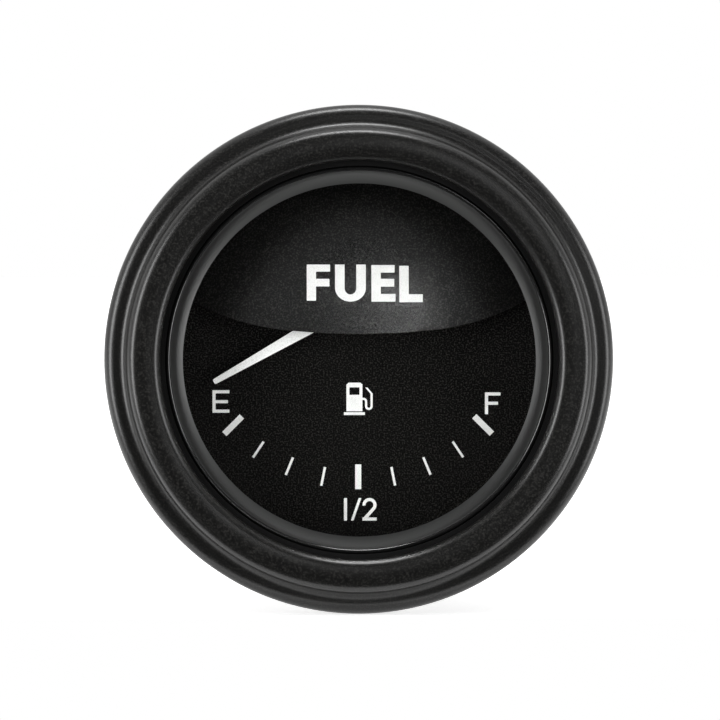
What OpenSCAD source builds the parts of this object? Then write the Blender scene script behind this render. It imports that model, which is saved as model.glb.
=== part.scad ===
// Fuel gauge for a 2 1/16 inch panel hole: black stepped bezel, bevelled glass, hooded dial
// and an air-core movement in a drawn steel can that a U-shaped clamp pulls against the panel.
// Millimetres. The panel lies in the plane y = 0 and the driver looks along +Y at the dial.

/* [Case] */
// Outside diameter of the can, which passes through the panel
case_d = 51.8; // [51:0.1:53]
// Sheet thickness of the can
case_t = 0.85; // [0.7:0.05:1]
// Depth of the can behind the panel
case_depth = 36; // [34:0.5:44]
// Outside radius of the can's rear corner
case_corner = 3; // [2:0.1:3.4]
// Width of the mouth ring's flange
flange_w = 2.4; // [2:0.1:3]
// Width of the chamfer under the mouth ring
ring_foot = 0.8; // [0.75:0.05:1.2]

/* [Bezel] */
// Thickness of the bezel's edge rolled under the flange
crimp_t = 0.7; // [0.5:0.05:0.75]
// Thickness of the bezel round the flange's edge
bezel_wall = 1.7; // [1.5:0.05:2.2]
// Height of the outer rim above the panel
rim_h = 3; // [2.8:0.1:3.4]
// Width of the outer rim
rim_w = 2.73; // [2.6:0.01:3]
// Rounding of the rim's front edge
rim_round = 1.4; // [1:0.05:1.5]
// Hollow rounding at the foot of the raised collar
foot_round = 1.1; // [0.6:0.05:1.1]
// Rounding of the collar's outer edge
shoulder_round = 1.23; // [0.9:0.01:1.35]
// Rounding of the collar's inner edge
lip_round = 1.05; // [0.9:0.05:1.45]
// Thickness of the lip that holds the glass down
lip_t = 1.45; // [1.45:0.05:2]
// Radius of the collar's gently crowned front
crown_round = 6; // [5:0.5:12]
// Rounding of the rim's rear edge
rear_round = 0.4; // [0.2:0.05:0.6]
// Width of the dark recess between the lip and the glass retainer
recess_w = 0.62; // [0.4:0.02:0.8]

/* [Glass] */
// Height of the glass's back above the panel
glass_seat_h = 2; // [1.8:0.1:2.4]
// Thickness of the glass at its edge
glass_edge_t = 1.4; // [1.2:0.05:1.8]
// Width of the flat rim that the retainer sits on
glass_rim_w = 1.62; // [1.4:0.02:1.8]
// Width of the ground bevel
bevel_w = 1.45; // [1.2:0.05:2]
// Slope of the bevel in degrees
bevel_deg = 25; // [15:1:35]
// Thickness of the retainer where it lies on the glass
retainer_t = 0.5; // [0.4:0.05:0.8]
// Thickness of the retainer round the glass
retainer_wall = 0.95; // [0.7:0.05:1.1]
// Diameter of the bead round the retainer's opening
bead_d = 0.56; // [0.4:0.02:0.7]
// Thickness of the rubber gasket
gasket_t = 0.57; // [0.4:0.01:0.8]

/* [Dial] */
// Depth of the dial's face behind the panel's front
dial_depth = 2.8; // [2.6:0.1:4]
// Thickness of the dial plate
dial_t = 0.8; // [0.6:0.1:1.2]
// Width of the spacer ring where it stands on the dial
spacer_foot = 3.65; // [3.2:0.05:4]
// Height of the pointer's pivot above the dial's centre
pivot_up = 7; // [6:0.1:7.6]
// Radius of the light notches in the dial's edge
notch_r = 1.2; // [0.8:0.1:1.6]
// Height of the hood above the dial
hood_h = 4.2; // [3.6:0.05:4.3]
// Sheet thickness of the hood
hood_t = 0.45; // [0.4:0.05:0.6]
// Radius of the hood's shallow crown
hood_crown = 85; // [75:1:100]
// Radius of the circle where the hood's crown turns down
hood_turn = 9; // [8:0.5:10]
// Height above the dial's centre where the hood's lip meets the dial
lip_foot_up = 7; // [6.2:0.1:8]
// Height above the dial's centre that the top of the lip reaches down to
lip_top_up = 3; // [2.2:0.1:4]
// Diameter of the pegs that hold the hood on the dial
peg_d = 1.4; // [1:0.1:1.6]

/* [Scale] */
// Radius of the scale's outer ends, from the pivot
scale_r = 22.55; // [21:0.05:23]
// Angle between neighbouring marks in degrees
scale_step = 11.25; // [9:0.25:12]
// Length of the empty, half and full marks
long_mark = 2.95; // [2:0.05:4]
// Width of the empty, half and full marks
bold_mark = 0.72; // [0.5:0.02:1]
// Length of the marks between them
short_mark = 2.25; // [1.5:0.05:2.8]
// Width of the marks between them
fine_mark = 0.28; // [0.2:0.02:0.4]
// Thickness of the printed marks
mark_t = 0.08; // [0.05:0.01:0.15]

/* [Pointer] */
// Length of the pointer from the pivot to its tip
pointer_len = 19.75; // [17:0.05:20]
// Width of the blade at the pivot
blade_root_w = 1.85; // [1.6:0.05:2.4]
// Width of the blade at the tip
blade_tip_w = 0.64; // [0.5:0.02:0.9]
// Rounding of the tip's two corners
tip_round = 0.18; // [0.1:0.02:0.24]
// Thickness of the blade
blade_t = 0.3; // [0.2:0.05:0.4]
// Gap between the dial and the underside of the blade
blade_lift = 1; // [0.8:0.1:1.2]
// Length of the tail behind the pivot
tail_len = 6; // [5:0.1:7]
// Diameter of the weight on the tail
weight_d = 2.6; // [2:0.1:3]
// Height of the weight
weight_h = 0.8; // [0.5:0.1:1]
// Diameter of the hub
hub_d = 4.8; // [4:0.1:5]
// Height of the hub's cap above the blade
hub_cap = 0.6; // [0.4:0.1:0.8]
// Direction of the pointer at the low stop, in degrees from the right-hand side
low_deg = 209.5; // [205:0.5:215]
// Angle that the pointer turns through between the stops
sweep_deg = 120; // [110:1:130]
// Diameter of the stop pins
stop_d = 0.8; // [0.6:0.1:1]
// Distance of the stop pins from the pivot
stop_r = 5; // [4.4:0.1:6]

/* [Movement] */
// Diameter of the spindle
spindle_d = 1; // [0.8:0.1:1.2]
// Running gap round the spindle in its bearings
running_gap = 0.03; // [0.02:0.01:0.08]
// Diameter of the disc magnet
rotor_d = 10; // [8:0.5:11]
// Thickness of the disc magnet
rotor_t = 2.4; // [1.6:0.1:3]
// Oil gap round the disc magnet
rotor_gap = 0.6; // [0.4:0.05:0.8]
// Thickness of the bobbin's side walls
bobbin_wall = 1.2; // [1:0.1:1.6]
// Thickness of the bobbin's end walls
bobbin_end = 1.7; // [1.4:0.1:2]
// Depth of each winding
coil_t = 1.2; // [0.8:0.1:1.6]
// Width of each half winding
coil_w = 3; // [2:0.1:3.2]
// Diameter of the bosses that carry the bearings
boss_d = 3.4; // [3:0.1:3.8]
// Diameter of the bearing bushes
bush_d = 2.2; // [1.8:0.1:2.4]
// Sheet thickness of the shield can
shield_t = 0.6; // [0.4:0.05:0.8]
// Length of the pillars between the dial and the base plate
pillar_len = 16.9; // [16.5:0.1:19]
// Diameter of those pillars
pillar_d = 3.6; // [3:0.1:4]
// Thickness of the base plate
base_t = 1.4; // [1:0.1:1.8]
// Length of the magnet that draws the pointer back to empty
return_len = 5; // [4:0.1:6]

/* [Clamp and its studs] */
// Thread diameter of the clamp studs
stud_d = 4.82; // [4:0.01:5]
// Distance of each clamp stud from the gauge's axis
stud_up = 14.5; // [14:0.1:16]
// Length of the clamp studs behind the can
stud_out = 21; // [18:0.5:26]
// Diameter of the collar that stands the base plate off the can
collar_stud_d = 7; // [6.4:0.1:7.4]
// Width of the nuts across their flats
nut_af = 8.6; // [8:0.1:9]
// Thickness of the nut that holds a stud in the can
case_nut_t = 2.6; // [2:0.1:3.4]
// Thickness of the outer nuts
nut_t = 3.2; // [2.6:0.1:4]
// Thickness of the plain washers
washer_t = 0.8; // [0.6:0.1:1.2]
// Thickness of the clamp's strap
strap_t = 1.6; // [1.2:0.1:2]
// Width of the clamp's strap
strap_w = 12; // [11:0.5:12.5]
// Gap between the clamp's legs and the can
leg_gap = 1.1; // [1:0.1:1.6]
// Thinnest panel that the clamp grips
thin_panel = 2.5; // [2.3:0.1:4]
// Inside radius of the clamp's bends
strap_bend = 2.4; // [1.6:0.1:3]

/* [Terminals] */
// Diameter of the terminal studs
term_d = 4.82; // [4.6:0.01:5]
// Distance of each terminal to the side of the axis
term_side = 13.5; // [12.5:0.1:14]
// Height of the terminals above the axis
term_up = 3.5; // [3:0.1:4]
// Length of the terminals behind the can
term_out = 15; // [13:0.5:18]
// Diameter of the insulating washers
insulator_d = 10; // [9:0.1:10.4]
// Thickness of the insulating washers
insulator_t = 1.2; // [0.8:0.1:1.6]
// Diameter of the terminal studs' heads
head_d = 8; // [7:0.1:8.6]
// Thickness of the terminal studs' heads
head_t = 2.5; // [2:0.1:3]
// Diameter of the resistor's body
resistor_d = 3.6; // [3:0.1:4]
// Length of the resistor's body
resistor_len = 11; // [9:0.5:12]

/* [Lamp] */
// Distance of the lamp to the left of the axis
lamp_side = 13; // [12.8:0.1:13.4]
// Distance of the lamp below the axis
lamp_down = 10.2; // [9.8:0.1:10.6]
// Diameter of the hole for the lamp holder
lamp_hole_d = 11.2; // [10.6:0.1:11.4]
// Diameter of the holder's flange
lamp_flange_d = 13; // [12:0.1:13]
// Length of the grip behind the flange
grip_len = 8; // [6:0.5:10]
// Length of the sleeve inside the can
sleeve_len = 8; // [6:0.5:9]
// Diameter of the bulb
bulb_d = 8; // [7:0.1:8.4]
// Length of the bulb in front of its cap
bulb_len = 14; // [11:0.5:16]
// Width of the lamp's blade terminal
blade_w = 6.3; // [4.8:0.1:6.3]
// Length of the lamp's blade terminal
blade_out = 8; // [6:0.5:9]

/* [Hidden] */
$fn = 96;
eps = 0.01;
slip_gap = 0.05;
stop_gap = 0.1;
stop_over = 0.3;
hub_gap = 0.3;
blind_end = 0.3;
drop_in_gap = 0.15;
hole_gap = 0.2;

case_r = case_d / 2;
case_in_r = case_r - case_t;
case_floor = case_depth - case_t;
flange_r = case_r + flange_w;
pocket_r = flange_r + drop_in_gap;
bezel_r = pocket_r + bezel_wall;
collar_r = bezel_r - rim_w;
crimp_in_r = case_r + ring_foot + drop_in_gap;
ring_back_z = crimp_t - ring_foot;

retainer_r = case_in_r - drop_in_gap;
lens_r = retainer_r - retainer_wall - slip_gap;
bevel_foot_r = lens_r - glass_rim_w;
flat_r = bevel_foot_r - bevel_w;
bead_in_r = bevel_foot_r + slip_gap;
gasket_in_r = bead_in_r + bead_d + slip_gap;
lip_r = bead_in_r + bead_d + recess_w;
glass_rim_z = glass_seat_h + glass_edge_t;
glass_front_z = glass_rim_z + bevel_w * tan(bevel_deg);
retainer_z = glass_rim_z + retainer_t;
lip_z = retainer_z + gasket_t;
collar_z = lip_z + lip_t;

dial_back = dial_depth + dial_t;
dial_r = case_in_r - 3 * drop_in_gap;
spacer_r = case_in_r - drop_in_gap;
spacer_in_r = case_in_r - spacer_foot;
spacer_top_r = bevel_foot_r + 2 * drop_in_gap;
hood_r = spacer_in_r - hole_gap;

blade_z = blade_lift - dial_depth;
hub_z = blade_z - blade_lift + hub_gap;
hub_top_z = blade_z + blade_t + hub_cap;
weight_land = 0.3;
weight_at = tail_len - weight_d / 2 - weight_land;

base_front = dial_back + pillar_len;
base_back = base_front + base_t;
shield_floor = base_front - shield_t;
cavity_r = rotor_d / 2 + rotor_gap;
cavity_half = rotor_t / 2 + rotor_gap;
bobbin_half = cavity_r + bobbin_wall;
bobbin_half_len = cavity_half + bobbin_end;
rotor_depth = shield_floor - 2 * coil_t - bobbin_half_len;
coil_in = boss_d / 2 + hole_gap;
coil_edge = coil_in + coil_w;
bobbin_corner = 1.6;
bobbin_reach = (bobbin_half - bobbin_corner) * sqrt(2) + bobbin_corner;
shield_r = max(bobbin_reach, norm([bobbin_half + coil_t, coil_edge])) + 2 * hole_gap;
shield_over = 1;
shield_front = rotor_depth - bobbin_half_len - 2 * coil_t - shield_over;
boss_front = dial_back + 2 * hole_gap;
boss_proud = 0.5;
cup_floor = 0.6;
bush_len = 2;
rear_boss_back = base_back + boss_proud;
cup_front = rotor_depth + bobbin_half_len + 2 * hole_gap;
cup_play = 0.2;

return_side = 5;
return_up = 3.2;
return_w = 2.5;
return_t = 2;

pillar_side = shield_r + shield_t + pillar_d / 2 + 3 * hole_gap;
screw_r = 1;
screw_len = 4;
screw_head_r = 1.9;
screw_head_t = 0.7;
slot_w = 0.5;
slot_deep = 0.35;

stud_r = stud_d / 2;
nut_r = nut_af / 2 / cos(30);
washer_r = nut_r + 0.3;
rivet_r = stud_r - 0.6;
strap_front = case_depth + washer_t + case_nut_t;
strap_back = strap_front + strap_t;
lock_t = 1;
clamp_nut_front = strap_back + lock_t;
clamp_nut_back = clamp_nut_front + nut_t;
leg_in = case_r + leg_gap;
leg_out = leg_in + strap_t;

term_r = term_d / 2;
term_neck_r = term_r - 0.25;
head_back = case_floor - insulator_t;
head_front = head_back - head_t;
bush_out = case_depth + insulator_t;
term_nut_front = bush_out + washer_t;
term_nut_back = term_nut_front + nut_t;
bush_spigot_r = term_neck_r + 1;
term_washer_r = insulator_d / 2 - hole_gap;

board_t = 1;
board_up = 1.2;
board_h = 4.4;
board_back = base_back + board_t;
strip_t = 0.4;
strip_w = 2.2;
strip_x = term_side - 2.9;
toe_len = 2.4;
foot_len = 4;
wire_r = 0.35;
resistor_up = 2.2;

lamp_hole_r = lamp_hole_d / 2;
sleeve_r = lamp_hole_r - hole_gap / 2;
socket_r = bulb_d / 2 + 2.5 * hole_gap;
sleeve_front = case_floor - sleeve_len;
lamp_flange_t = 1.2;
grip_step = 1.4;
grip_r = lamp_flange_d / 2 - grip_step;
rib_r = 0.5;
slit_w = 0.8;
slit_len = 4;
grip_back = case_depth + lamp_flange_t + grip_len;
cap_len = 8;
bulb_back = sleeve_front + 1;

// Turns what is drawn face up, with z towards the driver, to face the driver.
module face_out() { rotate([90, 0, 0]) children(); }

// A round bar from depth d0 back to depth d1 behind the panel's front.
module bar(r, d0, d1) { translate([0, 0, -d1]) cylinder(r = r, h = d1 - d0); }

// A tube between two depths.
module tube(r_out, r_in, d0, d1) {
  difference() {
    bar(r_out, d0, d1);
    bar(r_in, d0 - 1, d1 + 1);
  }
}

// A hexagonal nut between two depths, its corners turned off.
module hex_nut(r_bore, d0, d1) {
  difference() {
    intersection() {
      translate([0, 0, -d1]) cylinder(r = nut_r, h = d1 - d0, $fn = 6);
      translate([0, 0, -d1]) rotate_extrude() nut_section(d1 - d0);
    }
    bar(r_bore, d0 - 1, d1 + 1);
  }
}
module nut_section(h) {
  turned = (nut_r - nut_af / 2) * 0.6;
  polygon([[0, 0], [nut_af / 2, 0], [nut_r, turned], [nut_r, h - turned], [nut_af / 2, h], [0, h]]);
}

module at_studs() {
  for (side = [-1, 1]) translate([0, side * stud_up, 0]) children();
}
module at_terminals() {
  for (side = [-1, 1]) translate([side * term_side, term_up, 0]) children();
}
module at_pivot() { translate([0, pivot_up, 0]) children(); }
module at_lamp() { translate([-lamp_side, -lamp_down, 0]) children(); }
module at_pillars() {
  for (side = [-1, 1]) translate([side * pillar_side, pivot_up, 0]) children();
}

// Bezel: a turned ring whose section is a low rim, a hollow foot and a crowned collar.
module bezel_section() {
  foot = min(foot_round, collar_z - rim_h - shoulder_round);
  difference() {
    union() {
      rim_section();
      collar_section();
      difference() {
        translate([collar_r - eps, rim_h - eps]) square(foot + eps);
        translate([collar_r + foot, rim_h + foot]) circle(foot);
      }
    }
    translate([0, crimp_t]) square([pocket_r, case_t]);
    translate([0, -1]) square([crimp_in_r, 1 + crimp_t + eps]);
  }
}
module rim_section() {
  difference() {
    translate([case_in_r, 0]) square([bezel_r - case_in_r, rim_h]);
    edge_cut(bezel_r, rim_h, rim_round, 1);
    edge_cut(bezel_r, 0, rear_round, -1);
  }
  translate([case_in_r, rim_h - eps]) square([collar_r - case_in_r, lip_z - rim_h + 2 * eps]);
}
// What a rounding takes off an outer edge at radius r and height z.
module edge_cut(r, z, round_r, up) {
  difference() {
    translate([r - round_r, up > 0 ? z - round_r : z - 1]) square(round_r + 1);
    translate([r - round_r, z - up * round_r]) circle(round_r);
  }
}
module collar_section() {
  crown_r = (lip_r + lip_round + collar_r - shoulder_round) / 2;
  crown_z = collar_z - crown_round;
  lip_x = lip_r + lip_round;
  shoulder_x = collar_r - shoulder_round;
  lip_c = crown_z + sqrt(pow(crown_round - lip_round, 2) - pow(lip_x - crown_r, 2));
  shoulder_c = crown_z + sqrt(pow(crown_round - shoulder_round, 2) - pow(shoulder_x - crown_r, 2));
  intersection() {
    translate([lip_r, lip_z]) square([collar_r - lip_r, lip_t + 1]);
    union() {
      polygon([
        [lip_r, lip_z - 1], [collar_r, lip_z - 1], [collar_r, shoulder_c],
        [shoulder_x, shoulder_c], [lip_x, lip_c], [lip_r, lip_c]
      ]);
      translate([lip_x, lip_c]) circle(lip_round + eps);
      translate([shoulder_x, shoulder_c]) circle(shoulder_round + eps);
      intersection() {
        translate([crown_r, crown_z]) circle(crown_round);
        polygon([
          [crown_r, crown_z],
          [crown_r, crown_z] + 2 * [lip_x - crown_r, lip_c - crown_z],
          [crown_r, crown_z] + 2 * [shoulder_x - crown_r, shoulder_c - crown_z]
        ]);
      }
    }
  }
}
module bezel() {
  color("#1b1b1a") face_out() rotate_extrude() bezel_section();
}

// Glass: flat front, ground bevel, and a flat rim under the retainer.
module lens() {
  color([0.8, 0.85, 0.9, 0.3]) face_out() rotate_extrude()
    polygon([
      [0, glass_seat_h], [lens_r, glass_seat_h], [lens_r, glass_rim_z],
      [bevel_foot_r, glass_rim_z], [flat_r, glass_front_z], [0, glass_front_z]
    ]);
}

// Retainer: an angle ring with a rounded bead, round and over the glass's rim.
module lens_retainer() {
  bead_r = bead_d / 2;
  color("#0c0c0c") face_out() rotate_extrude() union() {
    translate([bead_in_r, glass_rim_z]) square([retainer_r - bead_in_r, retainer_t]);
    translate([lens_r + slip_gap, glass_seat_h]) square([retainer_r - lens_r - slip_gap, glass_edge_t + eps]);
    translate([bead_in_r + bead_r, retainer_z]) circle(bead_r);
  }
}

// Gasket: flat rubber between the retainer and the bezel's lip.
module lens_gasket() {
  color("#151515") face_out() translate([0, 0, retainer_z]) difference() {
    cylinder(r = retainer_r, h = gasket_t);
    translate([0, 0, -1]) cylinder(r = gasket_in_r, h = gasket_t + 2);
  }
}

// Spacer ring: stands on the dial's edge, carries the glass and narrows towards the dial.
module spacer_ring() {
  color("#111111") face_out() rotate_extrude()
    polygon([
      [spacer_in_r, -dial_depth], [spacer_r, -dial_depth],
      [spacer_r, glass_seat_h], [spacer_top_r, glass_seat_h]
    ]);
}

// Dial: a flat plate with light notches round its edge and holes for what it carries.
module dial() {
  notches = 8;
  color("#121212") face_out() difference() {
    bar(dial_r, dial_depth, dial_back);
    for (i = [0 : notches - 1]) rotate((i + 0.5) * 360 / notches)
      translate([dial_r, 0, 0]) bar(notch_r, dial_depth - 1, dial_back + 1);
    at_pivot() bar(spindle_d / 2 + 0.7, dial_depth - 1, dial_back + 1);
    at_pillars() bar(screw_r + hole_gap / 2, dial_depth - 1, dial_back + 1);
    at_stops() bar(stop_d / 2, dial_depth - 1, dial_back + 1);
    at_pegs() bar(peg_d / 2, dial_depth - 1, dial_back + 1);
  }
}

// Scale: nine printed marks that point at the pivot, bold at empty, half and full.
module scale_marks() {
  marks = 9;
  middle = (marks - 1) / 2;
  color("white") face_out() at_pivot() translate([0, 0, -dial_depth])
    for (i = [0 : marks - 1]) {
      bold = i % middle == 0;
      mark_len = bold ? long_mark : short_mark;
      mark_w = bold ? bold_mark : fine_mark;
      rotate(-90 + (i - middle) * scale_step)
        translate([scale_r - mark_len, -mark_w / 2, 0]) cube([mark_len, mark_w, mark_t]);
    }
}

// Hood: a shallow dome over the upper dial, cut by a slanting plane that leaves its lip overhanging.
hood_rise = asin(hood_turn / hood_crown);
hood_turn_in = (pow(hood_r, 2) + pow(hood_crown - hood_h, 2) - pow(hood_crown, 2))
  / (2 * (hood_r * sin(hood_rise) + (hood_crown - hood_h) * cos(hood_rise) - hood_crown));
hood_skirt = hood_crown - hood_turn_in;
skirt_x = hood_turn_in * sin(hood_rise);
skirt_z = hood_turn_in * cos(hood_rise) + hood_h - hood_crown;
module dome_section(shrink) {
  joint = [sin(hood_rise), cos(hood_rise)];
  intersection() {
    square([hood_r + hood_h, hood_h]);
    union() {
      intersection() {
        translate([0, hood_h - hood_crown]) circle(hood_crown - shrink, $fn = 360);
        polygon([[0, skirt_z], [skirt_x, skirt_z], [skirt_x, skirt_z] + 2 * hood_skirt * joint, [0, 2 * hood_skirt]]);
      }
      translate([skirt_x, skirt_z]) circle(hood_skirt + eps - shrink, $fn = 240);
    }
  }
}
module hood_cut() {
  slant = atan2(lip_foot_up - lip_top_up, hood_h);
  translate([0, lip_foot_up, 0]) rotate([slant, 0, 0])
    translate([-2 * hood_r, -3 * hood_r, -3 * hood_r]) cube([4 * hood_r, 3 * hood_r, 6 * hood_r]);
}
module at_pegs() {
  for (around = [40, 90, 140]) rotate(around) translate([hood_r - peg_d / 2 - hood_t - 2 * hole_gap, 0, 0]) children();
}
module dial_hood() {
  color("#1a1a1a") face_out() {
    difference() {
      translate([0, 0, -dial_depth]) rotate_extrude() difference() {
        dome_section(0);
        dome_section(hood_t);
      }
      translate([0, 0, -dial_depth]) hood_cut();
    }
    intersection() {
      at_pegs() bar(peg_d / 2, dial_depth - hood_h, dial_back);
      union() {
        bar(dial_r, dial_depth - eps, dial_back);
        translate([0, 0, -dial_depth - eps]) rotate_extrude() dome_section(hood_t / 2);
      }
    }
  }
}

// Stops: two pins in the dial beside the pointer at its ends of travel, under the hood.
stop_height = blade_lift + blade_t + stop_over;
stop_aside = asin((blade_root_w / 2 + stop_d / 2 + stop_gap) / stop_r);
module at_stops() {
  for (a = [low_deg - stop_aside, low_deg + sweep_deg + stop_aside])
    at_pivot() rotate(a) translate([stop_r, 0, 0]) children();
}
module stop_pins() {
  color("#b9b9b4") face_out() at_stops() bar(stop_d / 2, dial_depth - stop_height, dial_back);
}

// Dial screws: cheese heads with a slot, through the dial into the pillars.
module dial_screws() {
  color("#2a2a2a") face_out() at_pillars() {
    difference() {
      bar(screw_head_r, dial_depth - screw_head_t, dial_depth);
      translate([-screw_head_r, -slot_w / 2, screw_head_t - slot_deep - dial_depth])
        cube([2 * screw_head_r, slot_w, 2 * slot_deep]);
    }
    bar(screw_r, dial_depth - eps, dial_back + screw_len);
  }
}
module dial_pillars() {
  color("#c0a050") face_out() at_pillars() difference() {
    bar(pillar_d / 2, dial_back, base_front);
    bar(screw_r, dial_back - 1, dial_back + screw_len);
  }
}

// Pointer: a tapered blade with a blunt tip, an eye on the hub and a tail for the weight.
module pointer() {
  tip_r = blade_tip_w / 2;
  tip_x = pointer_len - tip_round;
  eye_r = hub_d / 2 - 0.4;
  color("white") face_out() at_pivot() rotate(low_deg) translate([0, 0, blade_z]) difference() {
    linear_extrude(blade_t) union() {
      polygon([
        [0, -blade_root_w / 2], [tip_x, -tip_r], [tip_x, tip_round - tip_r], [pointer_len, tip_round - tip_r],
        [pointer_len, tip_r - tip_round], [tip_x, tip_r - tip_round], [tip_x, tip_r], [0, blade_root_w / 2]
      ]);
      for (side = [-1, 1]) translate([tip_x, side * (tip_r - tip_round)]) circle(tip_round);
      circle(eye_r);
      translate([-weight_at, -blade_root_w / 2]) square([weight_at, blade_root_w]);
      translate([-weight_at, 0]) circle(weight_d / 2 + weight_land);
    }
    translate([0, 0, -1]) cylinder(r = hub_d / 4, h = blade_t + 2);
  }
}
// Hub: a spool riveted through the pointer's eye and pressed on the spindle.
module pointer_hub() {
  color("#222222") face_out() at_pivot() difference() {
    union() {
      translate([0, 0, hub_z]) cylinder(r = hub_d / 2, h = blade_z - hub_z);
      translate([0, 0, blade_z - eps]) cylinder(r = hub_d / 4, h = blade_t + 2 * eps);
      translate([0, 0, blade_z + blade_t]) cylinder(r1 = hub_d / 2, r2 = hub_d / 2 - hub_cap / 2, h = hub_cap);
    }
    translate([0, 0, hub_z - 1]) cylinder(r = spindle_d / 2, h = 1 + hub_top_z - hub_z - blind_end);
  }
}
module pointer_weight() {
  color("#b08d3c") face_out() at_pivot() rotate(low_deg + 180)
    translate([weight_at, 0, blade_z + blade_t]) cylinder(r = weight_d / 2, h = weight_h);
}

// Spindle: carries the hub in front and the disc magnet between the bearings.
module spindle() {
  color("#c8c8c8") face_out() at_pivot() bar(spindle_d / 2, blind_end - hub_top_z, cup_front + bush_len - cup_play);
}
module rotor_magnet() {
  color("#3a3a3d") face_out() at_pivot()
    tube(rotor_d / 2, spindle_d / 2, rotor_depth - rotor_t / 2, rotor_depth + rotor_t / 2);
}

// Bearings: a brass bush in the front boss and a closed cup in the rear one.
module front_bearing() {
  color("#c8a040") face_out() at_pivot()
    tube(bush_d / 2, spindle_d / 2 + running_gap, boss_front, boss_front + bush_len);
}
module rear_bearing() {
  color("#c8a040") face_out() at_pivot() difference() {
    bar(bush_d / 2, cup_front, cup_front + bush_len + cup_floor);
    bar(spindle_d / 2 + running_gap, cup_front - 1, cup_front + bush_len);
  }
}

// Bobbin: two moulded halves that close round the disc magnet, each with a boss for its bearing.
module bobbin_block(d0, d1) {
  translate([0, 0, -d1]) linear_extrude(d1 - d0) difference() {
    square(2 * bobbin_half, center = true);
    for (turn = [0 : 90 : 270]) rotate(turn) translate([bobbin_half - bobbin_corner, bobbin_half - bobbin_corner])
      difference() {
        square(bobbin_corner + 1);
        circle(bobbin_corner);
      }
  }
}
module bobbin_front() {
  color("#e8e2d0") face_out() at_pivot() difference() {
    union() {
      bobbin_block(rotor_depth - bobbin_half_len, rotor_depth);
      bar(boss_d / 2, boss_front, rotor_depth - bobbin_half_len + eps);
    }
    bar(cavity_r, rotor_depth - cavity_half, rotor_depth + 1);
    bar(bush_d / 2, boss_front - 1, boss_front + bush_len);
    bar(spindle_d / 2 + drop_in_gap, boss_front, rotor_depth);
  }
}
module bobbin_rear() {
  color("#e8e2d0") face_out() at_pivot() difference() {
    union() {
      bobbin_block(rotor_depth, rotor_depth + bobbin_half_len);
      bar(boss_d / 2, rotor_depth + bobbin_half_len - eps, rear_boss_back);
    }
    bar(cavity_r, rotor_depth - 1, rotor_depth + cavity_half);
    bar(spindle_d / 2 + drop_in_gap, rotor_depth, cup_front + eps);
    bar(bush_d / 2, cup_front, cup_front + bush_len + cup_floor);
    bar(bush_d / 2 - 1.5 * hole_gap, cup_front, rear_boss_back + 1);
  }
}

// Windings: each is two flat coils side by side, so that the spindle's boss passes between them.
module half_coils(half_len, inside) {
  for (side = [-1, 1]) translate([0, side * (coil_in + coil_w / 2), -rotor_depth])
    rotate([90, 0, 0]) linear_extrude(coil_w, center = true) difference() {
      coil_outline(inside + coil_t, half_len + coil_t, coil_t);
      square([2 * inside, 2 * half_len], center = true);
    }
}
module coil_outline(half_w, half_l, corner) {
  difference() {
    square([2 * half_w, 2 * half_l], center = true);
    for (sx = [-1, 1]) for (sy = [-1, 1]) scale([sx, sy]) translate([half_w - corner, half_l - corner])
      difference() {
        square(corner + 1);
        circle(corner);
      }
  }
}
module inner_coil() {
  color("#b0602a") face_out() at_pivot() half_coils(bobbin_half_len, bobbin_half);
}
module outer_coil() {
  color("#c87838") face_out() at_pivot() rotate(90) half_coils(bobbin_half_len + coil_t, bobbin_half);
}

// Shield can: a drawn cup round the windings, open towards the dial.
module shield_can() {
  color("#9a9a98") face_out() at_pivot() difference() {
    bar(shield_r + shield_t, shield_front, base_front);
    bar(shield_r, shield_front - 1, shield_floor);
    bar(boss_d / 2 + slip_gap, shield_floor - 1, base_front + 1);
  }
}

// Base plate: carries the movement and the dial's pillars, and stands on the clamp studs' collars.
module base_plate() {
  edge = 1.2;
  arm_r = collar_stud_d / 2 + edge;
  ear_r = pillar_d / 2 + edge;
  color("#8f8f8c") face_out() difference() {
    translate([0, 0, -base_back]) linear_extrude(base_t) union() {
      translate([0, pivot_up]) circle(shield_r + shield_t + edge);
      translate([-pillar_side, pivot_up - ear_r]) square([2 * pillar_side, 2 * ear_r]);
      for (side = [-1, 1]) translate([side * pillar_side, pivot_up]) circle(ear_r);
      translate([-arm_r, -stud_up]) square([2 * arm_r, stud_up + pivot_up]);
      translate([0, -stud_up]) circle(arm_r);
    }
    at_pivot() bar(boss_d / 2 + slip_gap, base_front - 1, base_back + 1);
    at_studs() bar(rivet_r, base_front - 1, base_back + 1);
  }
}
module return_magnet() {
  color("#48484c") face_out() translate([return_side, pivot_up + return_up, -base_back - return_t])
    cube([return_len, return_w, return_t]);
}

// Lead board, strips and resistor: they join the windings to the two terminals.
module lead_board() {
  half = strip_x + 0.6;
  color("#7a4a20") face_out() translate([-half, board_up - board_h / 2, -board_back])
    cube([2 * half, board_h, board_t]);
}
module contact_strips() {
  color("#c8a040") face_out() for (side = [-1, 1]) scale([side, 1, 1])
    translate([0, board_up + strip_w / 2, 0]) rotate([90, 0, 0]) linear_extrude(strip_w) union() {
      translate([strip_x - toe_len, -board_back - strip_t]) square([toe_len, strip_t]);
      translate([strip_x - strip_t, -head_front]) square([strip_t, head_front - board_back]);
      translate([strip_x - strip_t, -head_front]) square([foot_len, strip_t]);
    }
}
module resistor() {
  color("#d8c8a0") face_out() translate([0, term_up + resistor_up, wire_r - head_front]) rotate([0, 90, 0]) {
    cylinder(r = resistor_d / 2, h = resistor_len, center = true);
    cylinder(r = wire_r, h = 2 * term_side, center = true);
  }
}

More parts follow.
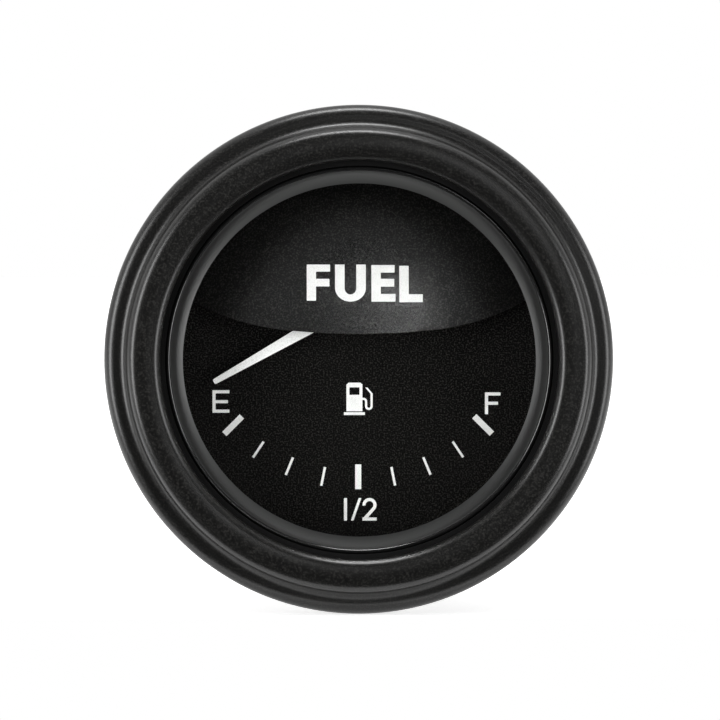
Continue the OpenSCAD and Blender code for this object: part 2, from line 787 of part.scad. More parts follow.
// Case: a drawn can with a rounded rear corner.
module case_section() {
  corner_in = case_corner - case_t;
  difference() {
    translate([0, -case_depth]) square([case_r, case_depth + ring_back_z]);
    difference() {
      translate([case_r - case_corner, -case_depth - 1]) square([case_corner + 1, case_corner + 1]);
      translate([case_r - case_corner, -case_depth + case_corner]) circle(case_corner);
    }
    difference() {
      translate([-1, -case_floor]) square([case_in_r + 1, case_floor + crimp_t + case_t + 1]);
      difference() {
        translate([case_in_r - corner_in, -case_floor - eps]) square([corner_in + eps, corner_in + eps]);
        translate([case_in_r - corner_in, -case_floor + corner_in]) circle(corner_in);
      }
    }
  }
}
module case() {
  color("#3c3c3b") face_out() difference() {
    rotate_extrude() case_section();
    at_studs() bar(stud_r + hole_gap / 2, case_floor - 1, case_depth + 1);
    at_terminals() bar(bush_spigot_r, case_floor - 1, case_depth + 1);
    at_lamp() bar(lamp_hole_r, case_floor - 1, case_depth + 1);
  }
}

// Mouth ring: a turned ring brazed on the can's mouth. The bezel's edge is rolled under its flange.
module mouth_ring() {
  ring_front_z = crimp_t + case_t;
  color("#3c3c3b") face_out() rotate_extrude() polygon([
    [case_in_r, ring_back_z], [case_r, ring_back_z], [case_r + ring_foot, crimp_t],
    [flange_r, crimp_t], [flange_r, ring_front_z], [case_in_r, ring_front_z]
  ]);
}

// Clamp studs: riveted in the base plate, with a collar against the can's floor.
module clamp_studs() {
  lead = 0.6;
  color("#b8b8b2") face_out() at_studs() {
    bar(rivet_r, base_front, base_back + eps);
    bar(collar_stud_d / 2, base_back, case_floor);
    bar(stud_r, case_floor - eps, case_depth + stud_out - lead);
    translate([0, 0, -case_depth - stud_out]) cylinder(r1 = stud_r - lead, r2 = stud_r, h = lead);
  }
}
module case_washers() {
  color("#c4c4be") face_out() at_studs()
    tube(washer_r, stud_r + slip_gap, case_depth, case_depth + washer_t);
}
module case_nuts() {
  color("#c9c6b8") face_out() at_studs()
    hex_nut(stud_r + slip_gap, case_depth + washer_t, strap_front);
}

// Mounting clamp: a U-shaped strap whose legs press on the back of the panel.
module clamp_outline(half, back, bend) {
  difference() {
    translate([-half, -back]) square([2 * half, back - thin_panel]);
    for (side = [-1, 1]) scale([side, 1]) difference() {
      translate([half - bend, -back - 1]) square([bend + 1, bend + 1]);
      translate([half - bend, -back + bend]) circle(bend);
    }
  }
}
module mounting_clamp() {
  toe = 2;
  color("#a9a9a2") face_out() difference() {
    rotate([90, 0, 90]) linear_extrude(strap_w, center = true) difference() {
      clamp_outline(leg_out, strap_back, strap_bend + strap_t);
      translate([0, 1]) clamp_outline(leg_in, strap_front + 1, strap_bend);
    }
    at_studs() bar(stud_r + 2 * hole_gap, strap_front - 1, strap_back + 1);
    for (side = [-1, 1]) for (edge = [-1, 1]) scale([edge, side, 1])
      translate([strap_w / 2 - toe, leg_in - 1, -thin_panel - toe]) rotate([-90, 0, 0])
        linear_extrude(strap_t + 2) difference() {
          translate([0, -toe - 1]) square(toe + 1);
          circle(toe);
        }
  }
}
module clamp_lock_washers() {
  color("#b0b0aa") face_out() at_studs()
    tube(nut_af / 2 - hole_gap, stud_r + slip_gap, strap_back, clamp_nut_front);
}
module clamp_nuts() {
  color("#c9c6b8") face_out() at_studs()
    hex_nut(stud_r + slip_gap, clamp_nut_front, clamp_nut_back);
}

// Terminal studs: a head inside the can, a neck through the insulators and the nut, and a free threaded end.
module terminal_studs() {
  lead = 0.6;
  color("#c8a858") face_out() at_terminals() {
    bar(head_d / 2, head_front, head_back);
    bar(term_neck_r, head_back - eps, term_nut_back + eps);
    bar(term_r, term_nut_back, case_depth + term_out - lead);
    translate([0, 0, -case_depth - term_out]) cylinder(r1 = term_r - lead, r2 = term_r, h = lead);
  }
}
module inner_insulators() {
  color("#5a3a20") face_out() at_terminals()
    tube(insulator_d / 2, term_neck_r + slip_gap, head_back, case_floor);
}
module terminal_bushes() {
  color("#5a3a20") face_out() at_terminals() difference() {
    union() {
      bar(insulator_d / 2, case_depth, bush_out);
      bar(bush_spigot_r, case_floor, case_depth + eps);
    }
    bar(term_neck_r + slip_gap, case_floor - 1, bush_out + 1);
  }
}
module terminal_washers() {
  color("#c4c4be") face_out() at_terminals()
    tube(term_washer_r, term_neck_r + slip_gap, bush_out, term_nut_front);
}
module terminal_nuts() {
  color("#c9b880") face_out() at_terminals()
    hex_nut(term_neck_r + slip_gap, term_nut_front, term_nut_back);
}

// Lamp holder: a push-in socket with a sprung sleeve, a flange and a ribbed grip.
module lamp_holder() {
  ribs = 12;
  color("#202020") face_out() at_lamp() difference() {
    union() {
      bar(sleeve_r, sleeve_front, case_depth + eps);
      bar(lamp_flange_d / 2, case_depth, case_depth + lamp_flange_t);
      bar(grip_r, case_depth + lamp_flange_t - eps, grip_back);
      for (i = [0 : ribs - 1]) rotate(i * 360 / ribs)
        translate([grip_r, 0, 0]) bar(rib_r, case_depth + lamp_flange_t - eps, grip_back - 1);
    }
    bar(socket_r, sleeve_front - 1, sleeve_front + cap_len + 1);
    for (turn = [0, 90]) rotate(turn)
      translate([-sleeve_r - 1, -slit_w / 2, -sleeve_front - slit_len])
        cube([2 * sleeve_r + 2, slit_w, slit_len + 1]);
  }
}
module lamp_cap() {
  color("#b8a878") face_out() at_lamp() bar(bulb_d / 2 + 1.5 * hole_gap, bulb_back, sleeve_front + cap_len + 1);
}
module lamp_bulb() {
  bulb_r = bulb_d / 2;
  color([0.9, 0.9, 0.85, 0.4]) face_out() at_lamp() {
    bar(bulb_r, bulb_back - bulb_len + bulb_r, bulb_back);
    translate([0, 0, -(bulb_back - bulb_len + bulb_r)]) sphere(bulb_r);
  }
}
module lamp_blade() {
  tab_t = 0.8;
  color("#c8b070") face_out() at_lamp() difference() {
    translate([-tab_t / 2, -blade_w / 2, -grip_back - blade_out]) cube([tab_t, blade_w, blade_out]);
    translate([-1, 0, 0.4 * blade_out - grip_back - blade_out]) rotate([0, 90, 0]) cylinder(r = 0.85, h = 2);
  }
}

bezel();
lens();
lens_retainer();
lens_gasket();
spacer_ring();
dial();
scale_marks();
dial_hood();
stop_pins();
dial_screws();
dial_pillars();
pointer();
pointer_hub();
pointer_weight();
spindle();
rotor_magnet();
front_bearing();
rear_bearing();
bobbin_front();
bobbin_rear();
inner_coil();
outer_coil();
shield_can();
base_plate();
return_magnet();
lead_board();
contact_strips();
resistor();
case();
mouth_ring();
clamp_studs();
case_washers();
case_nuts();
mounting_clamp();
clamp_lock_washers();
clamp_nuts();
terminal_studs();
inner_insulators();
terminal_bushes();
terminal_washers();
terminal_nuts();
lamp_holder();
lamp_cap();
lamp_bulb();
lamp_blade();
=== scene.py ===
# %% [markdown]
# # A dashboard fuel gauge
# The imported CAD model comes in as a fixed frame, in metres: +Y runs into the dashboard and +Z up the
# dial. Its solids already have the true shapes, so most of them stay as they are and only get a
# finish here. A few pieces are made new, where the look needs more than a solid holds: the bezel and
# the glass turned finely enough for thin highlights, the printed words, and the screw threads.

# %% Load the frame
import math

import bmesh
import bpy
from mathutils import Matrix, Vector
from mathutils.bvhtree import BVHTree


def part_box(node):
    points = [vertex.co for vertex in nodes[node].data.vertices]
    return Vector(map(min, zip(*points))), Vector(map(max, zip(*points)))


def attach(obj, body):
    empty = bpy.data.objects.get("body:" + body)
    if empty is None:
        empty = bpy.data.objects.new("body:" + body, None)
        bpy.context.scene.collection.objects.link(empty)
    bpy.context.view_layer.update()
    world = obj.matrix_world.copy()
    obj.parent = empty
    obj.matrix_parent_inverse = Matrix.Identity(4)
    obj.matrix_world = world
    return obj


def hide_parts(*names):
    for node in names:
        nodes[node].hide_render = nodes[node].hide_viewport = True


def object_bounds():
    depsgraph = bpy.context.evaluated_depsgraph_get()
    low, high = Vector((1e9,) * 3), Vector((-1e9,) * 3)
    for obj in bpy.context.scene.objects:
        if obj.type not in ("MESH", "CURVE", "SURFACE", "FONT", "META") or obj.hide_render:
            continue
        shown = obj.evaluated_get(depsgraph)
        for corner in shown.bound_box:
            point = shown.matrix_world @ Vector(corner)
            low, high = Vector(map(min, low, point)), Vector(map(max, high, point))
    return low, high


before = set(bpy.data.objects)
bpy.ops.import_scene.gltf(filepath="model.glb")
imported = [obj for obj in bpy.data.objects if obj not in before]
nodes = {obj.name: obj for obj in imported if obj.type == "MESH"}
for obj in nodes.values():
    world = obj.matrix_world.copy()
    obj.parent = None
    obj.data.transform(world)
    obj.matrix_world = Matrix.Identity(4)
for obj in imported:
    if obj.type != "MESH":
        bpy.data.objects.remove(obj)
MM = 0.001
cad_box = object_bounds()
print("CAD box in mm:", [[round(c / MM, 2) for c in corner] for corner in cad_box])

# %% [markdown]
# ## Camera
# The photograph is a catalogue view, almost straight at the face. A long lens from 0.6 m keeps the
# rings nearly concentric, as they are there; a short lens from close by would show one wall of every
# ring. The camera stands a degree and a half to the left and as much above the axis, because the
# deeper rings sit a little to the upper left in the photograph. A shift of a pixel puts the bezel
# where it is in the frame, and leaves the perspective alone.

# %% Camera
LOOK_AT = Vector((0, -1.6 * MM, 0))
VIEW_WIDTH = 85.26 * MM
LENS = 250
SENSOR = 36
FRAME_PX = 720
CAMERA_SIDE = -1.5
CAMERA_UP = 1.5

camera = bpy.data.objects.new("camera", bpy.data.cameras.new("camera"))
bpy.context.collection.objects.link(camera)
camera.data.lens = LENS
camera.data.sensor_width = SENSOR
camera.data.shift_x = 1 / FRAME_PX
camera.data.shift_y = -0.4 / FRAME_PX
camera.data.clip_start = 0.05
camera.data.clip_end = 20


def towards(azimuth, elevation):
    """Unit vector from the gauge towards a place, in degrees: azimuth 0 is in front, 90 is at +X."""
    a = math.radians(azimuth)
    e = math.radians(elevation)
    return Vector((math.sin(a) * math.cos(e), -math.cos(a) * math.cos(e), math.sin(e)))


sight = towards(CAMERA_SIDE, CAMERA_UP)
distance = VIEW_WIDTH * LENS / SENSOR
camera.location = LOOK_AT + distance * sight
camera.rotation_mode = "QUATERNION"
camera.rotation_quaternion = (-sight).to_track_quat("-Z", "Y")
bpy.context.scene.camera = camera
print("camera stands", round(distance, 3), "m away")

# %% [markdown]
# ## Helpers for shader nodes
# Every finish is a small node tree, and a few helpers keep these trees short enough to read. One
# adds a node and fills its sockets, one does a sum, one stretches a range of values to another. The
# last starts a material and hands back its Principled shader and its Object coordinates. Those are
# in metres and stay on the piece when it moves, so a worn patch never slides over the metal.


# %% Node helpers
def add(tree, kind, values=(), **settings):
    """Adds a shader node. A value is either put on the named socket or linked to it."""
    node = tree.nodes.new("ShaderNode" + kind)
    for name, setting in settings.items():
        setattr(node, name, setting)
    for name, value in dict(values).items():
        socket = node.inputs[name]
        if isinstance(value, bpy.types.NodeSocket):
            tree.links.new(value, socket)
        else:
            socket.default_value = value
    return node


def combine(tree, operation, a, b, clamp=False):
    """A sum, product, difference or maximum of two values."""
    return add(tree, "Math", {0: a, 1: b}, operation=operation, use_clamp=clamp).outputs[0]


def ramp(tree, value, start, end, low=0.0, high=1.0, ease="LINEAR"):
    """Stretches start..end to low..high. Past its ends it stays level."""
    limits = {"Value": value, "From Min": start, "From Max": end, "To Min": low, "To Max": high}
    return add(tree, "MapRange", limits, interpolation_type=ease).outputs["Result"]


def new_finish(name, **constants):
    """Starts a material. Constants go on the Principled shader's own sockets."""
    material = bpy.data.materials.new(name)
    material.use_nodes = True
    tree = material.node_tree
    shader = tree.nodes["Principled BSDF"]
    for socket, value in constants.items():
        shader.inputs[socket.replace("_", " ")].default_value = value
    return material, tree, shader, add(tree, "TexCoord").outputs["Object"]


finishes = {}
print("finishes so far:", len(finishes))

# %% [markdown]
# ## Studio
# The picture has a pure white background and a black object. A white world all round would be the
# simplest, but the black enamel would mirror it and turn grey, so the room is split. Behind the
# gauge the world is white, which the camera and the rear parts see. In front of it a weak fill keeps
# the enamel from going dead, and only the lamps draw bright lines on its curves. A darker hole round
# the dial's axis keeps the flat glass from mirroring the fill. The switch between these is the ray's
# own direction, so nothing depends on where the camera stands. A ray that went straight through
# glass sees the white too, but not one that has bounced on the way.

# %% World
WHITE_BACK = 1.0
FILL_FRONT = 0.08
DARK_HOLE = 0.012
HOLE_EDGE = (-0.985, -0.9)
FRONT_TO_BACK = (-0.35, 0.1)

world = bpy.data.worlds.new("studio")
bpy.context.scene.world = world
world.use_nodes = True
sky = world.node_tree
ray = add(sky, "LightPath").outputs
into_panel = add(sky, "SeparateXYZ", {"Vector": add(sky, "TexCoord").outputs["Generated"]}).outputs["Y"]
fill = ramp(sky, into_panel, *HOLE_EDGE, DARK_HOLE, FILL_FRONT, "SMOOTHSTEP")
split = ramp(sky, into_panel, *FRONT_TO_BACK, fill, WHITE_BACK, "SMOOTHSTEP")
bounced = combine(sky, "ADD", ray["Glossy Depth"], ray["Diffuse Depth"])
through = combine(sky, "SUBTRACT", ray["Is Transmission Ray"], bounced)
seen = combine(sky, "MAXIMUM", ray["Is Camera Ray"], through)
background = sky.nodes["Background"]
background.inputs["Color"].default_value = (1, 1, 1, 1)
sky.links.new(combine(sky, "MAXIMUM", split, seen), background.inputs["Strength"])
print("world is", FILL_FRONT, "in front and", WHITE_BACK, "behind")

# %% [markdown]
# ## Lamps
# A product photographer lights a turned black ring with long soft boxes at its sides, so that each
# crowned ring catches one thin line; small lamps would leave dots instead. Two tall boxes stand left
# and right, far round, so their light skims the face. One hangs high above and a little in front,
# and draws the bright lines over the top of the rings. A small lamp near the camera makes the soft
# patch on the hood. The left box is the stronger, as the photograph's brighter left side asks.

# %% Lamps
LAMP_REACH = 0.9


def softbox(name, azimuth, elevation, width, height, glow):
    """A rectangular lamp aimed at the gauge, which the camera doesn't see. Glow is its brightness."""
    lamp = bpy.data.lights.new(name, "AREA")
    lamp.shape = "RECTANGLE"
    lamp.size = width
    lamp.size_y = height
    lamp.energy = glow * math.pi * width * height
    holder = bpy.data.objects.new(name, lamp)
    bpy.context.collection.objects.link(holder)
    holder.location = LAMP_REACH * towards(azimuth, elevation)
    holder.rotation_mode = "QUATERNION"
    holder.rotation_quaternion = towards(azimuth, elevation).to_track_quat("Z", "Y")
    holder.visible_camera = False


softbox("left_box", azimuth=-59, elevation=5, width=0.3, height=0.7, glow=10.6)
softbox("right_box", azimuth=59, elevation=-1, width=0.3, height=0.7, glow=7.3)
softbox("top_box", azimuth=0, elevation=77, width=0.4, height=0.2, glow=23.0)
softbox("face_lamp", azimuth=10.5, elevation=9.5, width=0.1, height=0.1, glow=9.0)

# %% [markdown]
# ## Floor
# The gauge stands on its bezel's edge on a white table. A plain sheet is enough, because only its
# shadow shows. It begins just in front of the gauge, because a table that reached the camera would
# be mirrored in the flat glass and the black rings. It adds a little light of its own for the rays
# that look at it, so it reads as white as the background and keeps a faint shadow under the rim.

# %% Floor
TABLE_HALF = 2.0
TABLE_FRONT = 0.008
TABLE_GLOW = 0.7
TABLE_GRAIN = 900.0
TABLE_WHITES = (0.86, 0.9)

bm = bmesh.new()
bmesh.ops.create_grid(bm, x_segments=8, y_segments=8, size=TABLE_HALF)
bmesh.ops.translate(bm, verts=bm.verts, vec=(0, TABLE_HALF - TABLE_FRONT, cad_box[0].z))
mesh = bpy.data.meshes.new("table")
bm.to_mesh(mesh)
bm.free()
table = bpy.data.objects.new("table", mesh)
bpy.context.collection.objects.link(table)
print("table at z", round(cad_box[0].z / MM, 2), "mm")

# %% Table finish
material, tree, shader, where = new_finish("table_white", Roughness=0.6, Specular_IOR_Level=0.2,
                                           Emission_Color=(1, 1, 1, 1))
noise = add(tree, "TexNoise", {"Vector": where, "Scale": TABLE_GRAIN})
tree.links.new(ramp(tree, noise.outputs["Fac"], 0.0, 1.0, *TABLE_WHITES), shader.inputs["Base Color"])
ray = add(tree, "LightPath").outputs
looks = combine(tree, "MAXIMUM", ray["Is Camera Ray"], ray["Is Glossy Ray"])
looks = combine(tree, "MAXIMUM", looks, ray["Is Transmission Ray"])
tree.links.new(combine(tree, "MULTIPLY", looks, TABLE_GLOW), shader.inputs["Emission Strength"])
table.data.materials.append(material)
print("table glows by", TABLE_GLOW, "towards the rays that look at it")

# %% [markdown]
# ## Shared effects
# Four effects come back in many finishes, so each is a node group with named sockets, which is built
# once and placed wherever it is needed. Grain is the fine orange-peel of paint and moulded plastic,
# with its brighter specks apart. Cloud is the slow change of colour that handling and age leave. Both
# are noise, one fine and one broad, and each group's scale is given as a count per millimetre.


# %% Grain and cloud
SPECKS = (0.48, 0.7)
CLOUD_EDGES = (0.3, 0.7)


def new_group(name, inputs, outputs):
    """An empty node group. Inputs are name: default, outputs are names."""
    group = bpy.data.node_groups.new(name, "ShaderNodeTree")
    for label, value in inputs.items():
        kind = "NodeSocketVector" if isinstance(value, tuple) else "NodeSocketFloat"
        socket = group.interface.new_socket(label, in_out="INPUT", socket_type=kind)
        socket.default_value = value
    for label in outputs:
        group.interface.new_socket(label, in_out="OUTPUT", socket_type="NodeSocketFloat")
    start = group.nodes.new("NodeGroupInput")
    end = group.nodes.new("NodeGroupOutput")
    return group, start.outputs, end.inputs


def per_mm(group, count):
    """Turns a count per millimetre into a texture scale, since coordinates are in metres."""
    return combine(group, "MULTIPLY", count, 1 / MM)


def noise_in(group, given, detail, roughness=0.5):
    """Noise at the group's own scale and place."""
    return add(group, "TexNoise", {"Vector": given["Where"], "Scale": per_mm(group, given["Per mm"]),
                                   "Detail": detail, "Roughness": roughness}).outputs["Fac"]


grain_group, given, put = new_group("Grain", {"Where": (0, 0, 0), "Per mm": 4.0}, ["Height", "Speck"])
height = noise_in(grain_group, given, 1.0)
grain_group.links.new(height, put["Height"])
grain_group.links.new(ramp(grain_group, height, *SPECKS), put["Speck"])

cloud_group, given, put = new_group("Cloud", {"Where": (0, 0, 0), "Per mm": 0.15}, ["Cloud"])
cloud = noise_in(cloud_group, given, 4.0, 0.55)
cloud_group.links.new(ramp(cloud_group, cloud, *CLOUD_EDGES), put["Cloud"])
print("groups:", [g.name for g in bpy.data.node_groups])

# %% [markdown]
# ## Turning marks and rub
# Turning marks are the rings that a lathe or a press leaves round an axis. They are noise in one
# dimension, the distance from that axis, so every mark closes on itself as a real one does. Rub is
# bare metal where plating has worn off at some radius, as on a nut's corners: a band of distances
# times a patchy noise.


# %% Turning marks and rub
RUB_PATCHES = (0.42, 0.62)


def distance_from(group, where, axis):
    """Distance from an axis along Y. Folding to |x| and |z| lets one axis serve a pair of studs."""
    folded = add(group, "VectorMath", {0: where}, operation="ABSOLUTE").outputs[0]
    away = add(group, "VectorMath", {0: folded, 1: axis}, operation="SUBTRACT").outputs[0]
    flat = add(group, "VectorMath", {0: away, 1: (1, 0, 1)}, operation="MULTIPLY").outputs[0]
    return add(group, "VectorMath", {0: flat}, operation="LENGTH").outputs["Value"]


turned_group, given, put = new_group(
    "Turned", {"Where": (0, 0, 0), "Axis": (0, 0, 0), "Per mm": 3.0}, ["Lines"])
away = distance_from(turned_group, given["Where"], given["Axis"])
along = combine(turned_group, "MULTIPLY", away, per_mm(turned_group, given["Per mm"]))
lines = add(turned_group, "TexNoise", {"W": along, "Scale": 1.0, "Detail": 3.0}, noise_dimensions="1D")
turned_group.links.new(lines.outputs["Fac"], put["Lines"])

rub_group, given, put = new_group(
    "Rub", {"Where": (0, 0, 0), "Axis": (0, 0, 0), "From": 0.0, "To": 0.001, "Per mm": 1.5}, ["Rub"])
away = distance_from(rub_group, given["Where"], given["Axis"])
near = ramp(rub_group, away, given["From"], given["To"])
patchy = ramp(rub_group, noise_in(rub_group, given, 5.0), *RUB_PATCHES)
rub_group.links.new(combine(rub_group, "MULTIPLY", near, patchy), put["Rub"])
print("groups:", [g.name for g in bpy.data.node_groups])

# %% [markdown]
# ## Using the effects
# A material places a group with its own values, and then steers a colour or a roughness with the
# mask that comes out. The bump takes its depth in millimetres, so a finish can be as deep as it is on
# the real metal, a few thousandths for paint.


# %% Placing an effect
def effect(tree, group, **inputs):
    """Places one of the groups in a material with its own values."""
    node = tree.nodes.new("ShaderNodeGroup")
    node.node_tree = group
    for name, value in inputs.items():
        socket = node.inputs[name.replace("_", " ")]
        if isinstance(value, bpy.types.NodeSocket):
            tree.links.new(value, socket)
        else:
            socket.default_value = value
    return node.outputs


def between(tree, factor, low, high):
    """A colour or a number that changes from low to high with the factor."""
    if not isinstance(high, tuple):
        return ramp(tree, factor, 0.0, 1.0, low, high)
    mix = add(tree, "Mix", {"Factor": factor}, data_type="RGBA")
    for socket, colour in ((mix.inputs[6], low), (mix.inputs[7], high)):
        if isinstance(colour, bpy.types.NodeSocket):
            tree.links.new(colour, socket)
        else:
            socket.default_value = (*colour, 1)
    return mix.outputs[2]


def roughen(tree, shader, height, depth):
    """Bump of a real depth in millimetres, into the shader's normal."""
    bump = add(tree, "Bump", {"Height": height, "Distance": depth * MM})
    tree.links.new(bump.outputs["Normal"], shader.inputs["Normal"])


print("groups to place:", [g.name for g in (grain_group, cloud_group, turned_group, rub_group)])

# %% [markdown]
# ## Black enamels
# The bezel is spun brass with a baked satin enamel, and the hood and the dial are painted plate.
# The photograph shows deep black with a fine grain, and highlights that are soft at their edges. So
# each colour is nearly black with a slow cloud and lighter specks in it, the roughness follows the
# grain, and a shallow bump lifts it. Flat black alone would look like plastic. The dial is the
# dullest of them and the trim round the glass the shiniest.

# %% Enamels
CLOUD_PER_MM = 0.22
GRAIN_PER_MM = 5.0


def enamel(name, dark, light, speckle, rough, depth, **constants):
    """Black paint: two near blacks, its specks' colour, a roughness range, its grain's depth in mm."""
    material, tree, shader, where = new_finish(name, **constants)
    cloud = effect(tree, cloud_group, Where=where, Per_mm=CLOUD_PER_MM)["Cloud"]
    grain = effect(tree, grain_group, Where=where, Per_mm=GRAIN_PER_MM)
    tone = between(tree, grain["Speck"], between(tree, cloud, dark, light), speckle)
    tree.links.new(tone, shader.inputs["Base Color"])
    tree.links.new(between(tree, grain["Height"], *rough), shader.inputs["Roughness"])
    roughen(tree, shader, grain["Height"], depth)
    finishes[name] = material
    return tree, shader, where, grain


enamel("bezel_enamel", (0.0032, 0.0031, 0.0029), (0.0046, 0.0045, 0.0042), (0.0215, 0.0208, 0.0192),
       (0.24, 0.42), 0.001, Specular_IOR_Level=0.5)
enamel("black_trim", (0.003, 0.003, 0.003), (0.004, 0.004, 0.004), (0.007, 0.007, 0.007),
       (0.12, 0.24), 0.003, Specular_IOR_Level=0.7)
enamel("dial_paint", (0.0004, 0.0004, 0.0003), (0.0007, 0.0007, 0.0006), (0.023, 0.0217, 0.0196),
       (0.75, 0.95), 0.01, Specular_IOR_Level=0.05)
print("enamels:", list(finishes))

# %% [markdown]
# ## The hood's sheen
# The hood is shinier in its middle, where the face lamp leaves a soft glow, and dull towards its
# ends. Lighter paint in the middle would be simpler, but it would stay light in any light. So a coat
# of clear lacquer lies over the paint. Its weight is full within a few millimetres of the middle and
# fades out further away, and the grain breaks it up, because on the real hood the glow is made of
# many small glints and not of one smooth spot.

# %% Hood paint
SHEEN_AT = Vector((1, -5, 8)) * MM
SHEEN_FULL = 7 * MM
SHEEN_GONE = 16 * MM
GLINTS = (0.0, 1.6)

tree, shader, where, grain = enamel(
    "hood_paint", (0.0006, 0.0006, 0.0005), (0.001, 0.001, 0.0009), (0.025, 0.0242, 0.0225),
    (0.3, 0.5), 0.005, Specular_IOR_Level=0.2, Coat_Roughness=0.255, Coat_IOR=1.7)
away = add(tree, "VectorMath", {0: where, 1: SHEEN_AT}, operation="DISTANCE").outputs["Value"]
sheen = ramp(tree, away, SHEEN_FULL, SHEEN_GONE, 1.0, 0.0, "SMOOTHSTEP")
glints = combine(tree, "MULTIPLY", sheen, between(tree, grain["Height"], *GLINTS), clamp=True)
tree.links.new(glints, shader.inputs["Coat Weight"])
print("sheen fades between", SHEEN_FULL / MM, "and", SHEEN_GONE / MM, "mm")

# %% [markdown]
# ## Glass
# The glass is a clear pane whose edge is ground to a shallow bevel. Clear glass keeps its full
# transmission. Light reaches the dial through a Transparent shader for shadow rays only, because
# refracted shadows would be noisy and too dark. The ground bevel lets no picture through, so it is
# an opaque grey with fine turning marks. Straight on it reads as a smooth band between the dial and
# the rim. Its grey is painted paler towards its foot: painted light that lifts the shade which the
# lip and the retainer cast on the outer part of the bevel.

# %% Clear glass
material, tree, shader, where = new_finish("glass", Roughness=0.0, IOR=1.5, Transmission_Weight=1.0)
cloud = effect(tree, cloud_group, Where=where, Per_mm=0.1)["Cloud"]
tone = between(tree, cloud, (0.975, 0.985, 0.98), (1.0, 1.0, 1.0))
tree.links.new(tone, shader.inputs["Base Color"])
shadow_ray = add(tree, "LightPath").outputs["Is Shadow Ray"]
open_way = add(tree, "BsdfTransparent").outputs["BSDF"]
both = add(tree, "MixShader", {0: shadow_ray, 1: shader.outputs["BSDF"], 2: open_way})
tree.links.new(both.outputs["Shader"], tree.nodes["Material Output"].inputs["Surface"])
finishes["glass"] = material
print("glass bends light by", shader.inputs["IOR"].default_value)

# %% Ground glass
SHADE_LIFT_FROM = 20.9 * MM
SHADE_LIFT_TO = 22.3 * MM

material, tree, shader, where = new_finish("ground_glass", Specular_IOR_Level=0.7)
lines = effect(tree, turned_group, Where=where, Per_mm=5.0)["Lines"]
# Painted light: the grey gets paler towards the bevel's foot, against the shade of the lip and the
# retainer.
foot = ramp(tree, distance_from(tree, where, (0, 0, 0)), SHADE_LIFT_FROM, SHADE_LIFT_TO)
tone = between(tree, foot, (0.044, 0.045, 0.044), (0.115, 0.117, 0.115))
tree.links.new(tone, shader.inputs["Base Color"])
tree.links.new(between(tree, lines, 0.38, 0.5), shader.inputs["Roughness"])
roughen(tree, shader, lines, 0.002)
finishes["ground_glass"] = material
print("the bevel pales over", round((SHADE_LIFT_TO - SHADE_LIFT_FROM) / MM, 2), "mm")

# %% [markdown]
# ## Making a new piece
# Each new piece is drawn as a bmesh in the row's own frame, cleaned, and put in the scene where it
# stands, so its object stays at the origin. Doubled points are merged before the normals are worked
# out, or a seam would split the surface.

# %% New pieces
MERGE = 1e-7


def new_piece(name, bm, materials, replaces=()):
    """Turns a bmesh in the row's frame into a piece that rides on the gauge's body."""
    bmesh.ops.remove_doubles(bm, verts=bm.verts, dist=MERGE)
    bmesh.ops.recalc_face_normals(bm, faces=bm.faces)
    mesh = bpy.data.meshes.new(name)
    bm.to_mesh(mesh)
    bm.free()
    for material in materials:
        mesh.materials.append(finishes[material])
    made = bpy.data.objects.new(name, mesh)
    bpy.context.collection.objects.link(made)
    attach(made, "gauge")
    if replaces:
        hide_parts(*replaces)
    print(name, "has", len(mesh.polygons), "faces")


print("points closer than", MERGE, "m are merged")

# %% [markdown]
# ## Turning a ring
# The real bezel is turned, and so is this one. A ring's section is drawn as a pen would: a first
# point, straight lines through more places, and arcs swung about a centre by the spin operator. A
# full spin about the gauge's axis then makes the ring, with its seam merged. A screw modifier would
# do as well, but here the mesh is finished at once and its edges can be sorted: soft ones are shaded
# smooth and true corners stay sharp.

# %% Section and spin
TURN_STEPS = 256


def section_start(bm, r, y):
    """First point of a ring's section, in millimetres: radius, and y into the dashboard."""
    return bm.verts.new((r * MM, y * MM, 0))


def line_to(bm, point, *places):
    """Draws straight on through more places of the section and gives back the last point."""
    for r, y in places:
        new = bm.verts.new((r * MM, y * MM, 0))
        bm.edges.new((point, new))
        point = new
    return point


def arc_about(bm, point, r, y, degrees, steps):
    """Swings the last point about a centre, which leaves an arc of edges behind it."""
    swung = bmesh.ops.spin(bm, geom=[point], cent=(r * MM, y * MM, 0), axis=(0, 0, 1),
                           angle=math.radians(degrees), steps=steps)
    return next(v for v in swung["geom_last"] if isinstance(v, bmesh.types.BMVert))


def turn_ring(bm, most=40):
    """Spins the whole section about the gauge's axis. Edges bent by more than most degrees stay sharp."""
    bmesh.ops.spin(bm, geom=bm.verts[:] + bm.edges[:], cent=(0, 0, 0), axis=(0, 1, 0), angle=math.tau,
                   steps=TURN_STEPS, use_merge=True)
    bmesh.ops.remove_doubles(bm, verts=bm.verts, dist=MERGE)
    for face in bm.faces:
        face.smooth = True
    for edge in bm.edges:
        edge.smooth = edge.is_manifold and edge.calc_face_angle(0) < math.radians(most)


print("a ring is turned in", TURN_STEPS, "steps")

# %% [markdown]
# ## Bezel
# A brass ring spun to shape: a low rim on the panel, a hollow foot, and a crowned collar with a lip
# that holds the glass down. The solid has this shape already, but its triangles are coarse, and on
# black enamel they show as steps in the thin highlights. So the ring is turned again from the same
# sizes. The lip's, the crown's and the shoulder's arcs meet without a corner, because the small
# arcs' centres are worked out from the crown's.

# %% Bezel sizes
BEZEL_R = 30.15
RIM_H = 3.0
RIM_ROUND = 1.4
REAR_ROUND = 0.4
COLLAR_R = 27.42
COLLAR_H = 5.913
CROWN_R = 6.0
FOOT_R = 1.1
SHOULDER_R = 1.23
LIP_IN = 23.51
LIP_H = 4.47
LIP_R = 1.05
CASE_IN = 25.05
POCKET_OUT = 28.45
POCKET_H = 1.55
CRIMP_IN = 26.85
CRIMP_H = 0.7

